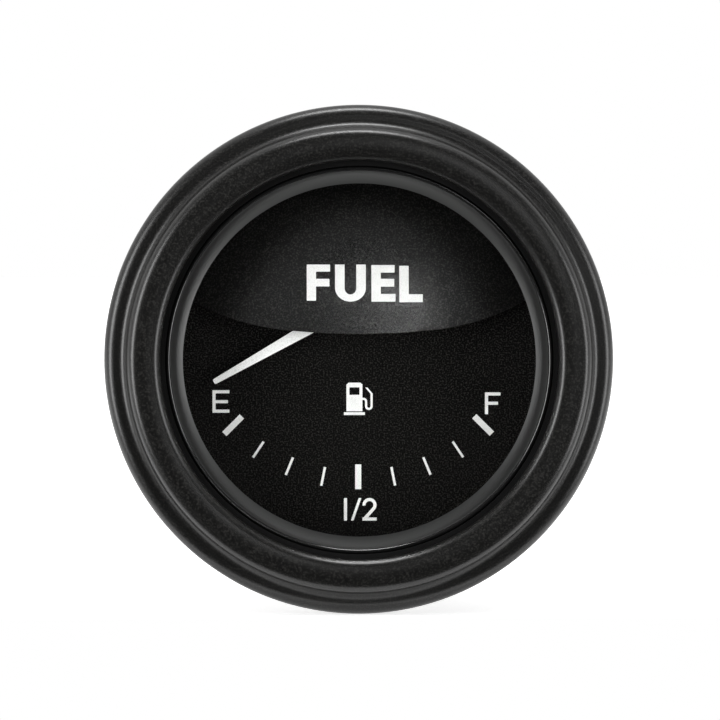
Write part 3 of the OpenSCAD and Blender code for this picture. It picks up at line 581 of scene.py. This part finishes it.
lip_x = LIP_IN + LIP_R
shoulder_x = COLLAR_R - SHOULDER_R
half = (shoulder_x - lip_x) / 2
crown_x = (lip_x + shoulder_x) / 2
crown_y = CROWN_R - COLLAR_H
lip_y = crown_y - math.sqrt((CROWN_R - LIP_R) ** 2 - half ** 2)
shoulder_y = crown_y - math.sqrt((CROWN_R - SHOULDER_R) ** 2 - half ** 2)
to_lip = math.degrees(math.asin(half / (CROWN_R - LIP_R)))
to_shoulder = math.degrees(math.asin(half / (CROWN_R - SHOULDER_R)))
print("the crown spans", round(to_lip + to_shoulder, 1), "degrees")

# %% Turn the bezel
bm = bmesh.new()
first = section_start(bm, LIP_IN, -LIP_H)
point = line_to(bm, first, (CASE_IN, -LIP_H), (CASE_IN, -POCKET_H), (POCKET_OUT, -POCKET_H),
                (POCKET_OUT, -CRIMP_H), (CRIMP_IN, -CRIMP_H), (CRIMP_IN, 0), (BEZEL_R - REAR_ROUND, 0))
point = arc_about(bm, point, BEZEL_R - REAR_ROUND, -REAR_ROUND, -90, 6)
point = line_to(bm, point, (BEZEL_R, RIM_ROUND - RIM_H))
point = arc_about(bm, point, BEZEL_R - RIM_ROUND, RIM_ROUND - RIM_H, -90, 24)
point = line_to(bm, point, (COLLAR_R + FOOT_R, -RIM_H))
point = arc_about(bm, point, COLLAR_R + FOOT_R, -RIM_H - FOOT_R, 90, 20)
point = line_to(bm, point, (COLLAR_R, shoulder_y))
point = arc_about(bm, point, shoulder_x, shoulder_y, to_shoulder - 90, 22)
point = arc_about(bm, point, crown_x, crown_y, -(to_shoulder + to_lip), 16)
point = arc_about(bm, point, lip_x, lip_y, to_lip - 90, 24)
bm.edges.new((point, first))
turn_ring(bm)
new_piece("bezel_ring", bm, ["bezel_enamel"], ["bezel"])

# %% [markdown]
# ## Glass and its retainer
# The pane is half a section spun about the axis, so its middle closes to one point. The faces of the
# bevel take the ground finish. An angle ring lies over the pane's rim, and its opening has a bead
# half a millimetre thick that catches a fine bright line. Both are spun with the same steps: rings
# that differ would show through each other as dashes where the light grazes them.

# %% Glass pane
BEVEL_IN = 20.83
BEVEL_OUT = 22.28
GLASS_R = 23.9
GLASS_BACK = -2.0
GLASS_RIM = -3.4
GLASS_FRONT = -4.076
GLASS_CORNER = 8

bm = bmesh.new()
line_to(bm, section_start(bm, 0, GLASS_FRONT), (BEVEL_IN, GLASS_FRONT), (BEVEL_OUT, GLASS_RIM),
        (GLASS_R, GLASS_RIM), (GLASS_R, GLASS_BACK), (0, GLASS_BACK))
turn_ring(bm, GLASS_CORNER)
for face in bm.faces:
    centre = face.calc_center_median() / MM
    in_front = centre.y < (GLASS_RIM + GLASS_BACK) / 2
    face.material_index = 1 if in_front and math.hypot(centre.x, centre.z) > BEVEL_IN else 0
print("ground faces:", sum(f.material_index for f in bm.faces))
new_piece("glass_pane", bm, ["glass", "ground_glass"], ["lens"])

# %% Glass retainer
BEAD_R = 0.28
BEAD_AT = 22.61
RETAINER_TOP = -3.9
RETAINER_R = 24.9
WALL_IN = 23.95

bm = bmesh.new()
first = section_start(bm, BEAD_AT - BEAD_R, RETAINER_TOP)
point = arc_about(bm, first, BEAD_AT, RETAINER_TOP, 180, 16)
point = line_to(bm, point, (RETAINER_R, RETAINER_TOP), (RETAINER_R, GLASS_BACK), (WALL_IN, GLASS_BACK),
                (WALL_IN, GLASS_RIM), (BEAD_AT - BEAD_R, GLASS_RIM))
bm.edges.new((point, first))
turn_ring(bm)
new_piece("retainer_ring", bm, ["black_trim"], ["lens_retainer"])

# %% [markdown]
# ## Inks
# The lettering and the scale are pad-printed in thick white ink, and the pointer is dipped in white
# paint. Ink on a rough dial never lies quite even, so its white is broken by the same grain as the
# paint, only finer. The word on the hood gets more light than the dial does, so its ink is painted a
# little greyer, as painted shade. The letters beside the scale are painted a little whiter, as painted
# light that lifts the shade which the collar casts on the E.

# %% White inks
INK_GRAIN = 7.0
INK_DEPTH = 0.006


def ink(name, low, high, rough=0.5):
    """White ink: its two whites and its lowest roughness."""
    material, tree, shader, where = new_finish(name, Specular_IOR_Level=0.4)
    grain = effect(tree, grain_group, Where=where, Per_mm=INK_GRAIN)
    tree.links.new(between(tree, grain["Speck"], high, low), shader.inputs["Base Color"])
    tree.links.new(between(tree, grain["Height"], rough, rough + 0.15), shader.inputs["Roughness"])
    roughen(tree, shader, grain["Height"], INK_DEPTH)
    finishes[name] = material


ink("white_print", (0.72, 0.72, 0.7), (0.83, 0.83, 0.815))
# Painted light: a whiter ink that lifts the collar's shade on the letters.
ink("letter_print", (0.83, 0.83, 0.81), (0.95, 0.95, 0.935))
# Painted shade: a greyer ink that holds down the stronger light on the hood.
ink("hood_print", (0.67, 0.67, 0.655), (0.77, 0.77, 0.76))
ink("pointer_paint", (0.78, 0.78, 0.765), (0.93, 0.93, 0.92), 0.4)
print("inks:", [name for name in finishes if "print" in name or "pointer" in name])

# %% [markdown]
# ## Drawing letters
# A text object would be quicker, but it would bring a font's shapes and not these. A letter with
# straight sides is one flat face whose corners are rounded a little by a vertex bevel, as a printing
# pad leaves them. A curved stroke is an edge as wide as the pen, which is pushed along with an extrude
# and swung round with a spin, so its width is true all the way. At the end the flat mark is set on
# its surface and extruded by the thickness of the ink.

# %% Straight marks
CORNER = 0.06


def outline(bm, points):
    """A flat face in the dial's plane from (x, z) points in millimetres, with its corners rounded."""
    corners = [bm.verts.new((x * MM, 0, z * MM)) for x, z in points]
    bm.faces.new(corners)
    bmesh.ops.bevel(bm, geom=corners, offset=CORNER * MM, offset_type="OFFSET", segments=3, profile=0.5,
                    affect="VERTICES", material=-1)


def bar(bm, x0, z0, x1, z1):
    """An upright rectangle between two corners."""
    outline(bm, [(x0, z0), (x1, z0), (x1, z1), (x0, z1)])


print("corners are rounded by", CORNER, "mm")

# %% Curved strokes
STROKE = 0.37


def pen(bm, start, end):
    """The edge that draws a stroke, between two (x, z) places in millimetres."""
    return bm.edges.new([bm.verts.new((x * MM, 0, z * MM)) for x, z in (start, end)])


def draw_on(bm, edge, dx, dz):
    """Extrudes an edge by (dx, dz) in millimetres and gives back the edge that moved."""
    new = bmesh.ops.extrude_edge_only(bm, edges=[edge])["geom"]
    moved = [v for v in new if isinstance(v, bmesh.types.BMVert)]
    bmesh.ops.translate(bm, verts=moved, vec=(dx * MM, 0, dz * MM))
    return next(e for e in new if isinstance(e, bmesh.types.BMEdge))


def swing(bm, edge, x, z, degrees, steps):
    """Spins an edge about a point of the dial's plane, clockwise as seen from the front."""
    new = bmesh.ops.spin(bm, geom=[*edge.verts, edge], cent=(x * MM, 0, z * MM), axis=(0, 1, 0),
                         angle=math.radians(degrees), steps=steps)["geom_last"]
    return next(e for e in new if isinstance(e, bmesh.types.BMEdge))


print("a thin stroke is", STROKE, "mm wide")

# %% Laying the ink
INK = 0.05
SUNK = 0.02


def lay_ink(bm, height_at):
    """Drops a flat mark on its surface, sunk in a little, and extrudes it by the ink's thickness."""
    for v in bm.verts:
        v.co.y = height_at(v.co.x, v.co.z) + SUNK * MM
    top = bmesh.ops.extrude_face_region(bm, geom=bm.faces[:])["geom"]
    raised = [v for v in top if isinstance(v, bmesh.types.BMVert)]
    bmesh.ops.translate(bm, verts=raised, vec=(0, -(INK + SUNK) * MM, 0))


print("ink is", INK, "mm thick")

# %% [markdown]
# ## FUEL on the hood
# The word is in heavy capitals and falls slightly to the right in the photograph, so each letter has
# its own height here. F, E and L are outlines. U is one stroke that goes down, round and up again.
# Its bowl is then pressed thinner at the bottom, as the letter is, flatter outside and deeper inside.

# %% FUEL
U_OUT = -2.83
U_IN = -1.71
U_MID = -1.014
U_TOP = 11.25
U_TURN = 8.49
U_RIGHT = 0.9
BOWL_MIDDLE = 1.2
BOWL_OUTSIDE = 0.889
BOWL_INSIDE = 1.118
SLACK = 0.01

bm = bmesh.new()
outline(bm, [(-6.18, 6.99), (-5.09, 6.99), (-5.09, 8.67), (-3.5, 8.67), (-3.5, 9.56), (-5.09, 9.56),
             (-5.09, 10.42), (-3.42, 10.42), (-3.42, 11.25), (-6.18, 11.25)])
outline(bm, [(1.47, 6.87), (4.32, 6.87), (4.32, 7.78), (2.57, 7.78), (2.57, 8.64), (4.17, 8.64),
             (4.17, 9.56), (2.57, 9.56), (2.57, 10.3), (4.22, 10.3), (4.22, 11.19), (1.47, 11.19)])
outline(bm, [(4.78, 6.8), (7.56, 6.8), (7.56, 7.73), (5.89, 7.73), (5.89, 11.1), (4.78, 11.1)])

stroke = pen(bm, (U_OUT, U_TOP), (U_IN, U_TOP))
stroke = draw_on(bm, stroke, 0, U_TURN - U_TOP)
stroke = swing(bm, stroke, U_MID, U_TURN, -180, 24)
stroke = draw_on(bm, stroke, 0, U_TOP - U_TURN)
for v in bm.verts:
    x = v.co.x / MM
    z = v.co.z / MM
    if U_OUT - SLACK < x < U_RIGHT and z < U_TURN - SLACK:
        outside = math.hypot(x - U_MID, z - U_TURN) > BOWL_MIDDLE
        v.co.z = (U_TURN + (z - U_TURN) * (BOWL_OUTSIDE if outside else BOWL_INSIDE)) * MM
left = min(v.co.x for v in bm.verts) / MM
right = max(v.co.x for v in bm.verts) / MM
print("FUEL spans", round(left, 2), "to", round(right, 2), "mm")

# %% [markdown]
# ## Draping the word
# The hood is a shallow dome, so the flat word has to follow it. A shrinkwrap could pull it on, but
# it would also drag the points sideways. So planes cut each letter every half millimetre, which
# gives it points enough to bend, and every point is dropped straight onto the hood along the dial's
# axis. From the front the word keeps its outline.

# %% Drape the word
CUT_EVERY = 0.5
CUTS_X = (-6.0, 7.5)
CUTS_Z = (6.75, 11.0)
RAY_START = -0.05

bmesh.ops.triangulate(bm, faces=bm.faces)
for normal, (first_cut, last_cut) in ((Vector((1, 0, 0)), CUTS_X), (Vector((0, 0, 1)), CUTS_Z)):
    for step in range(int((last_cut - first_cut) / CUT_EVERY) + 1):
        place = normal * (first_cut + CUT_EVERY * step) * MM
        bmesh.ops.bisect_plane(bm, geom=bm.verts[:] + bm.edges[:] + bm.faces[:], plane_co=place,
                               plane_no=normal)
dome = BVHTree.FromObject(nodes["dial_hood"], bpy.context.evaluated_depsgraph_get())


def on_hood(x, z):
    """Where the hood's outer skin is at (x, z)."""
    return dome.ray_cast(Vector((x, RAY_START, z)), Vector((0, 1, 0)))[0].y


lay_ink(bm, on_hood)
new_piece("word_fuel", bm, ["hood_print"])

# %% [markdown]
# ## Letters on the dial
# E, F and 1/2 are drawn with thin even strokes, all of one width. The 2 is an edge spun round its
# bowl, drawn down to the left, and closed by its foot. Its last edge is set level with the top of the
# foot, so the two faces share their points.

# %% E, F and 1/2
DIAL_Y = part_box("dial")[0].y
E_LEFT = -17.36
E_RIGHT = -15.34
E_LOW = -6.41
E_BAR = -5.28
E_BAR_END = -15.52
E_TOP = -3.73
F_LEFT = 15.12
F_RIGHT = 16.98
F_LOW = -6.62
F_BAR = -5.5
F_BAR_END = 16.68
F_TOP = -4.02
ONE_LEFT = -1.7
HALF_LOW = -19.3
HALF_TOP = -16.61

bm = bmesh.new()
e_stem = E_LEFT + STROKE
f_stem = F_LEFT + STROKE
outline(bm, [(E_LEFT, E_LOW), (E_RIGHT, E_LOW), (E_RIGHT, E_LOW + STROKE), (e_stem, E_LOW + STROKE),
             (e_stem, E_BAR), (E_BAR_END, E_BAR), (E_BAR_END, E_BAR + STROKE), (e_stem, E_BAR + STROKE),
             (e_stem, E_TOP - STROKE), (E_RIGHT, E_TOP - STROKE), (E_RIGHT, E_TOP), (E_LEFT, E_TOP)])
outline(bm, [(F_LEFT, F_LOW), (f_stem, F_LOW), (f_stem, F_BAR), (F_BAR_END, F_BAR),
             (F_BAR_END, F_BAR + STROKE), (f_stem, F_BAR + STROKE), (f_stem, F_TOP - STROKE),
             (F_RIGHT, F_TOP - STROKE), (F_RIGHT, F_TOP), (F_LEFT, F_TOP)])
bar(bm, ONE_LEFT, HALF_LOW, ONE_LEFT + STROKE, HALF_TOP)
outline(bm, [(-0.88, HALF_LOW), (-0.56, HALF_LOW), (0.38, HALF_TOP), (0.06, HALF_TOP)])
print("the dial's face is at y", round(DIAL_Y / MM, 2), "mm")

# %% The 2 of the half
TWO_X = 1.35
TWO_Z = -17.44
TWO_R = 0.65
FOOT_TOP = HALF_LOW + STROKE
FOOT_LEFT = 0.5
FOOT_RIGHT = 2.2
NECK_LEFT = 0.64
NECK_RIGHT = 1.18
WELD = 1e-6

stroke = pen(bm, (TWO_X - TWO_R - STROKE / 2, TWO_Z), (TWO_X - TWO_R + STROKE / 2, TWO_Z))
bmesh.ops.rotate(bm, verts=stroke.verts[:], cent=(TWO_X * MM, 0, TWO_Z * MM),
                 matrix=Matrix.Rotation(math.radians(-6), 3, "Y"))
stroke = swing(bm, stroke, TWO_X, TWO_Z, 228, 28)
stroke = draw_on(bm, stroke, -0.8, -1.1)
low, high = sorted(stroke.verts, key=lambda v: v.co.x)
low.co = Vector((NECK_LEFT, 0, FOOT_TOP)) * MM
high.co = Vector((NECK_RIGHT, 0, FOOT_TOP)) * MM
foot = [(FOOT_LEFT, HALF_LOW), (FOOT_RIGHT, HALF_LOW), (FOOT_RIGHT, FOOT_TOP), (NECK_RIGHT, FOOT_TOP),
        (NECK_LEFT, FOOT_TOP), (FOOT_LEFT, FOOT_TOP)]
bm.faces.new([bm.verts.new((x * MM, 0, z * MM)) for x, z in foot])
bmesh.ops.remove_doubles(bm, verts=bm.verts, dist=WELD)
lay_ink(bm, lambda x, z: DIAL_Y)
new_piece("dial_letters", bm, ["letter_print"])

# %% [markdown]
# ## Petrol pump sign
# The middle of the dial carries a plain petrol pump, the sign that any fuel gauge may show. The pump's
# housing is a face that goes round its window, closed by a narrow post with shared edges. The hose is
# one stroke: it leaves the housing's side, turns down and up again, and ends in the nozzle's spout.

# %% Pump sign
PUMP_X = -0.2
PUMP_Z = -4.75
WALL = -1.2
WINDOW_LEFT = -0.85
WINDOW_RIGHT = 0.35
WINDOW_LOW = 0.45
WINDOW_TOP = 1.35
SIDE = 0.7

bm = bmesh.new()
housing = [(WALL, -1.5), (SIDE, -1.5), (SIDE, WINDOW_LOW), (WINDOW_RIGHT, WINDOW_LOW),
           (WINDOW_LEFT, WINDOW_LOW), (WINDOW_LEFT, WINDOW_TOP), (WINDOW_RIGHT, WINDOW_TOP),
           (SIDE, WINDOW_TOP), (SIDE, 1.7), (0.45, 1.9), (-0.95, 1.9), (WALL, 1.65)]
post = [(WINDOW_RIGHT, WINDOW_LOW), (SIDE, WINDOW_LOW), (SIDE, WINDOW_TOP), (WINDOW_RIGHT, WINDOW_TOP)]
for ring in (housing, post):
    bm.faces.new([bm.verts.new(((PUMP_X + x) * MM, 0, (PUMP_Z + z) * MM)) for x, z in ring])
bar(bm, PUMP_X - 1.5, PUMP_Z - 1.95, PUMP_X + 1.0, PUMP_Z - 1.62)

stroke = pen(bm, (PUMP_X + SIDE, PUMP_Z - 0.15), (PUMP_X + SIDE, PUMP_Z + 0.1))
stroke = draw_on(bm, stroke, 0.12, 0)
stroke = swing(bm, stroke, PUMP_X + 0.82, PUMP_Z - 0.35, 90, 8)
stroke = draw_on(bm, stroke, 0, -0.55)
stroke = swing(bm, stroke, PUMP_X + 1.47, PUMP_Z - 0.9, -180, 14)
stroke = draw_on(bm, stroke, 0, 1.5)
stroke = draw_on(bm, stroke, -0.62, 0.72)
bmesh.ops.remove_doubles(bm, verts=bm.verts, dist=WELD)
lay_ink(bm, lambda x, z: DIAL_Y)
new_piece("pump_sign", bm, ["white_print"])

# %% [markdown]
# ## Plated and bare metals
# The can is steel with a dull dark lacquer. The clamp and its nuts are zinc plated, a pale grey with
# a faint warm cloud, worn to steel on the nuts' corners. Terminals are brass that has gone brown
# where nobody touches it. One recipe serves them all: the colour and the roughness drift with the
# same cloud, from clean to aged, and the turning marks only lift the surface.

# %% Metals
STUD_Z = 14.5
TERM_X = 13.5
TERM_Z = 3.5
METAL_CLOUD = 0.35
MARK_DEPTH = 0.004


def metal(name, clean, aged, rough, marks=2.0, axis=(0, 0, 0), rub=None, metallic=1.0):
    """Metal that drifts from clean to aged, with marks per mm about an axis. Rub is radii and colour."""
    material, tree, shader, where = new_finish(name, Metallic=metallic)
    cloud = effect(tree, cloud_group, Where=where, Per_mm=METAL_CLOUD)["Cloud"]
    lines = effect(tree, turned_group, Where=where, Axis=axis, Per_mm=marks)["Lines"]
    tone = between(tree, cloud, clean, aged)
    if rub:
        start, end, bare = rub
        worn = effect(tree, rub_group, Where=where, Axis=axis, From=start * MM, To=end * MM)["Rub"]
        tone = between(tree, worn, tone, bare)
    tree.links.new(tone, shader.inputs["Base Color"])
    tree.links.new(between(tree, cloud, *rough), shader.inputs["Roughness"])
    roughen(tree, shader, lines, MARK_DEPTH)
    finishes[name] = material


metal("can_finish", (0.024, 0.024, 0.025), (0.034, 0.033, 0.031), (0.4, 0.46), marks=2.5, metallic=0.5)
metal("zinc_plate", (0.43, 0.43, 0.42), (0.35, 0.345, 0.33), (0.28, 0.38), marks=4.0,
      axis=(0, 0, STUD_Z * MM), rub=(4.55, 4.95, (0.24, 0.23, 0.22)))
metal("clamp_plate", (0.41, 0.41, 0.4), (0.32, 0.315, 0.3), (0.34, 0.44), marks=0.8)
metal("brass", (0.56, 0.4, 0.17), (0.34, 0.23, 0.1), (0.26, 0.42), marks=5.0,
      axis=(TERM_X * MM, 0, TERM_Z * MM))
metal("steel", (0.5, 0.5, 0.5), (0.4, 0.39, 0.38), (0.3, 0.42))
metal("blackened_steel", (0.05, 0.05, 0.052), (0.08, 0.078, 0.075), (0.35, 0.5), metallic=0.8)
metal("magnet", (0.16, 0.16, 0.165), (0.1, 0.1, 0.1), (0.4, 0.55), metallic=0.7)
metal("copper_winding", (0.55, 0.2, 0.09), (0.4, 0.13, 0.06), (0.3, 0.4), marks=6.0)
print("finishes so far:", len(finishes))

# %% [markdown]
# ## Threads behind the panel
# The studs are plain cylinders in the CAD. Here each becomes a real thread, because from behind they
# stand out against the can; a bump would be cheaper, but its outline would stay smooth. One tooth is
# two flanks with a flat crest and a flat root. A spin that also climbs by one pitch each turn sweeps
# the tooth along the stud. Planes cut both ends square, the cuts are filled, and the last turns taper
# as a die leaves them. A point within a micron of a plane counts as on it, or the cut's rim could stay
# open and the fill would miss it. The plain part reaches two microns into the thread, so that the two
# closed forms share no points.

# %% Sweep a tooth
PITCH = 0.8
TOOTH = 0.42
FLANK = 0.25
CREST = 0.12
THREAD_STEPS = 24


def sweep_tooth(bm, x, z, radius, start, turns):
    """Winds one tooth about the line along Y through (x, z), all in millimetres."""
    root = radius - TOOTH
    crest_end = FLANK + CREST
    profile = ((root, 0), (radius, FLANK), (radius, crest_end), (root, crest_end + FLANK), (root, PITCH))
    tooth = [bm.verts.new(((x + r) * MM, (start + y) * MM, z * MM)) for r, y in profile]
    sides = [bm.edges.new(pair) for pair in zip(tooth, tooth[1:])]
    bmesh.ops.spin(bm, geom=tooth + sides, cent=(x * MM, 0, z * MM), axis=(0, 1, 0), angle=math.tau * turns,
                   dvec=(0, PITCH * MM / THREAD_STEPS, 0), steps=THREAD_STEPS * turns)
    bmesh.ops.remove_doubles(bm, verts=bm.verts, dist=WELD)


print("a thread climbs", PITCH, "mm a turn")

# %% Cut and taper its ends
LEAD = 0.6
REACH = 1.0


def near_axis(face, x, z, reach):
    """Whether a face lies within reach of the line along Y through (x, z), in millimetres."""
    centre = face.calc_center_median() / MM
    return math.hypot(centre.x - x, centre.z - z) < reach


def cut_square(bm, x, z, radius, y, side):
    """Cuts one thread off at y and closes it. Side is -1 to drop what is before y, 1 what is behind."""
    mine = [f for f in bm.faces if near_axis(f, x, z, radius + REACH)]
    geom = list({v for f in mine for v in f.verts}) + list({e for f in mine for e in f.edges}) + mine
    cut = bmesh.ops.bisect_plane(bm, geom=geom, dist=WELD, plane_co=(0, y * MM, 0), plane_no=(0, side, 0),
                                 clear_outer=True)
    rim = [e for e in cut["geom_cut"] if isinstance(e, bmesh.types.BMEdge)]
    bmesh.ops.holes_fill(bm, edges=rim, sides=0)


def taper(bm, x, z, radius, end):
    """Draws the last turns of a thread in towards its axis."""
    for v in bm.verts:
        away = Vector((v.co.x / MM - x, v.co.z / MM - z))
        most = radius - LEAD + max(0, end - v.co.y / MM)
        if most < away.length < radius + REACH and v.co.y / MM > end - LEAD:
            away *= most / away.length
            v.co.x = (x + away.x) * MM
            v.co.z = (z + away.y) * MM


print("a thread tapers over its last", LEAD, "mm")

# %% Thread and bar
SPARE_TURNS = 3
BAR_SIDES = 48


def thread(bm, x, z, radius, y0, y1):
    """A threaded rod along Y about (x, z), all in millimetres."""
    sweep_tooth(bm, x, z, radius, y0 - PITCH, int((y1 - y0) / PITCH) + SPARE_TURNS)
    cut_square(bm, x, z, radius, y0, -1)
    cut_square(bm, x, z, radius, y1, 1)
    taper(bm, x, z, radius, y1)


def plain_bar(bm, x, z, radius, y0, y1):
    """A closed plain cylinder along Y."""
    place = Matrix.Translation((x * MM, (y0 + y1) / 2 * MM, z * MM)) @ Matrix.Rotation(math.pi / 2, 4, "X")
    bmesh.ops.create_cone(bm, cap_ends=True, segments=BAR_SIDES, radius1=radius * MM, radius2=radius * MM,
                          depth=(y1 - y0) * MM, matrix=place)


print("a plain bar has", BAR_SIDES, "sides")

# %% Studs
STUD_R = 2.41
NECK_R = 2.16
STUD_CUT = 35.2
TERM_CUT = 41.2
OVERLAP = 0.002

stud_front, stud_back = (corner.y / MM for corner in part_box("clamp_studs"))
bm = bmesh.new()
for z in (-STUD_Z, STUD_Z):
    thread(bm, 0, z, STUD_R, STUD_CUT, stud_back)
    plain_bar(bm, 0, z, STUD_R, stud_front, STUD_CUT + OVERLAP)
print("clamp studs run from", round(stud_front, 2), "to", round(stud_back, 2), "mm")
new_piece("clamp_stud_threads", bm, ["zinc_plate"], ["clamp_studs"])

term_front, term_back = (corner.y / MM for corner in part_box("terminal_studs"))
bm = bmesh.new()
for x in (-TERM_X, TERM_X):
    thread(bm, x, TERM_Z, STUD_R, TERM_CUT, term_back)
    plain_bar(bm, x, TERM_Z, NECK_R, term_front, TERM_CUT + OVERLAP)
new_piece("terminal_threads", bm, ["brass"], ["terminal_studs"])

# %% [markdown]
# ## Mouldings, rubber and lamp glass
# The insulators are brown phenolic sheet, the lamp holder and the ring round the dial are black
# mouldings, and the bobbin is pale nylon. A moulded face is an even colour with a grain, so they
# share a recipe of cloud and grain. The rubber is duller and coarser. The lamp's bulb is thin clear
# glass with a faint cloud.

# %% Mouldings
MOULD_CLOUD = 0.4


def moulding(name, low, high, rough, depth=0.01, count=3.0, **constants):
    """Moulded plastic or rubber: two colours, a roughness range, its grain's depth and count per mm."""
    material, tree, shader, where = new_finish(name, **constants)
    cloud = effect(tree, cloud_group, Where=where, Per_mm=MOULD_CLOUD)["Cloud"]
    grain = effect(tree, grain_group, Where=where, Per_mm=count)
    tree.links.new(between(tree, cloud, low, high), shader.inputs["Base Color"])
    tree.links.new(between(tree, grain["Height"], *rough), shader.inputs["Roughness"])
    roughen(tree, shader, grain["Height"], depth)
    finishes[name] = material


moulding("black_moulding", (0.0035, 0.0035, 0.0035), (0.0055, 0.0053, 0.005), (0.55, 0.7))
moulding("gasket_rubber", (0.003, 0.003, 0.003), (0.005, 0.005, 0.005), (0.75, 0.9), depth=0.02, count=2.0,
         Specular_IOR_Level=0.15)
moulding("phenolic", (0.16, 0.075, 0.028), (0.1, 0.045, 0.018), (0.4, 0.55), depth=0.006, count=5.0)
moulding("holder_moulding", (0.016, 0.016, 0.017), (0.026, 0.025, 0.024), (0.38, 0.52))
moulding("bobbin_moulding", (0.6, 0.58, 0.52), (0.5, 0.47, 0.4), (0.45, 0.6))
moulding("resistor_coat", (0.55, 0.48, 0.32), (0.45, 0.38, 0.24), (0.4, 0.5))
print("mouldings done, with", len(finishes), "finishes so far")

# %% Bulb glass
material, tree, shader, where = new_finish("bulb_glass", Roughness=0.02, IOR=1.5, Transmission_Weight=1.0)
cloud = effect(tree, cloud_group, Where=where, Per_mm=0.5)["Cloud"]
tone = between(tree, cloud, (0.93, 0.93, 0.9), (1.0, 1.0, 1.0))
tree.links.new(tone, shader.inputs["Base Color"])
finishes["bulb_glass"] = material
print("finishes in all:", len(finishes))

# %% [markdown]
# ## Dressing the solids
# The solids come in with one plain slot each, and the slot's name says what the piece is made of. The
# finishes above have the same names, so one loop dresses every solid. Only the material changes: a
# solid is never moved, and its mesh is never touched.

# %% Dress the solids
for node in nodes.values():
    slot = node.material_slots[0].name.split(".")[0]
    node.material_slots[0].material = finishes[slot]
used = {node.material_slots[0].name for node in nodes.values()}
print("dressed", len(nodes), "solids with", len(used), "finishes")

# %% [markdown]
# ## Finishing
# The Standard view keeps a colour as it is written, where a filmic view would turn the background grey.

bpy.context.scene.view_settings.view_transform = "Standard"
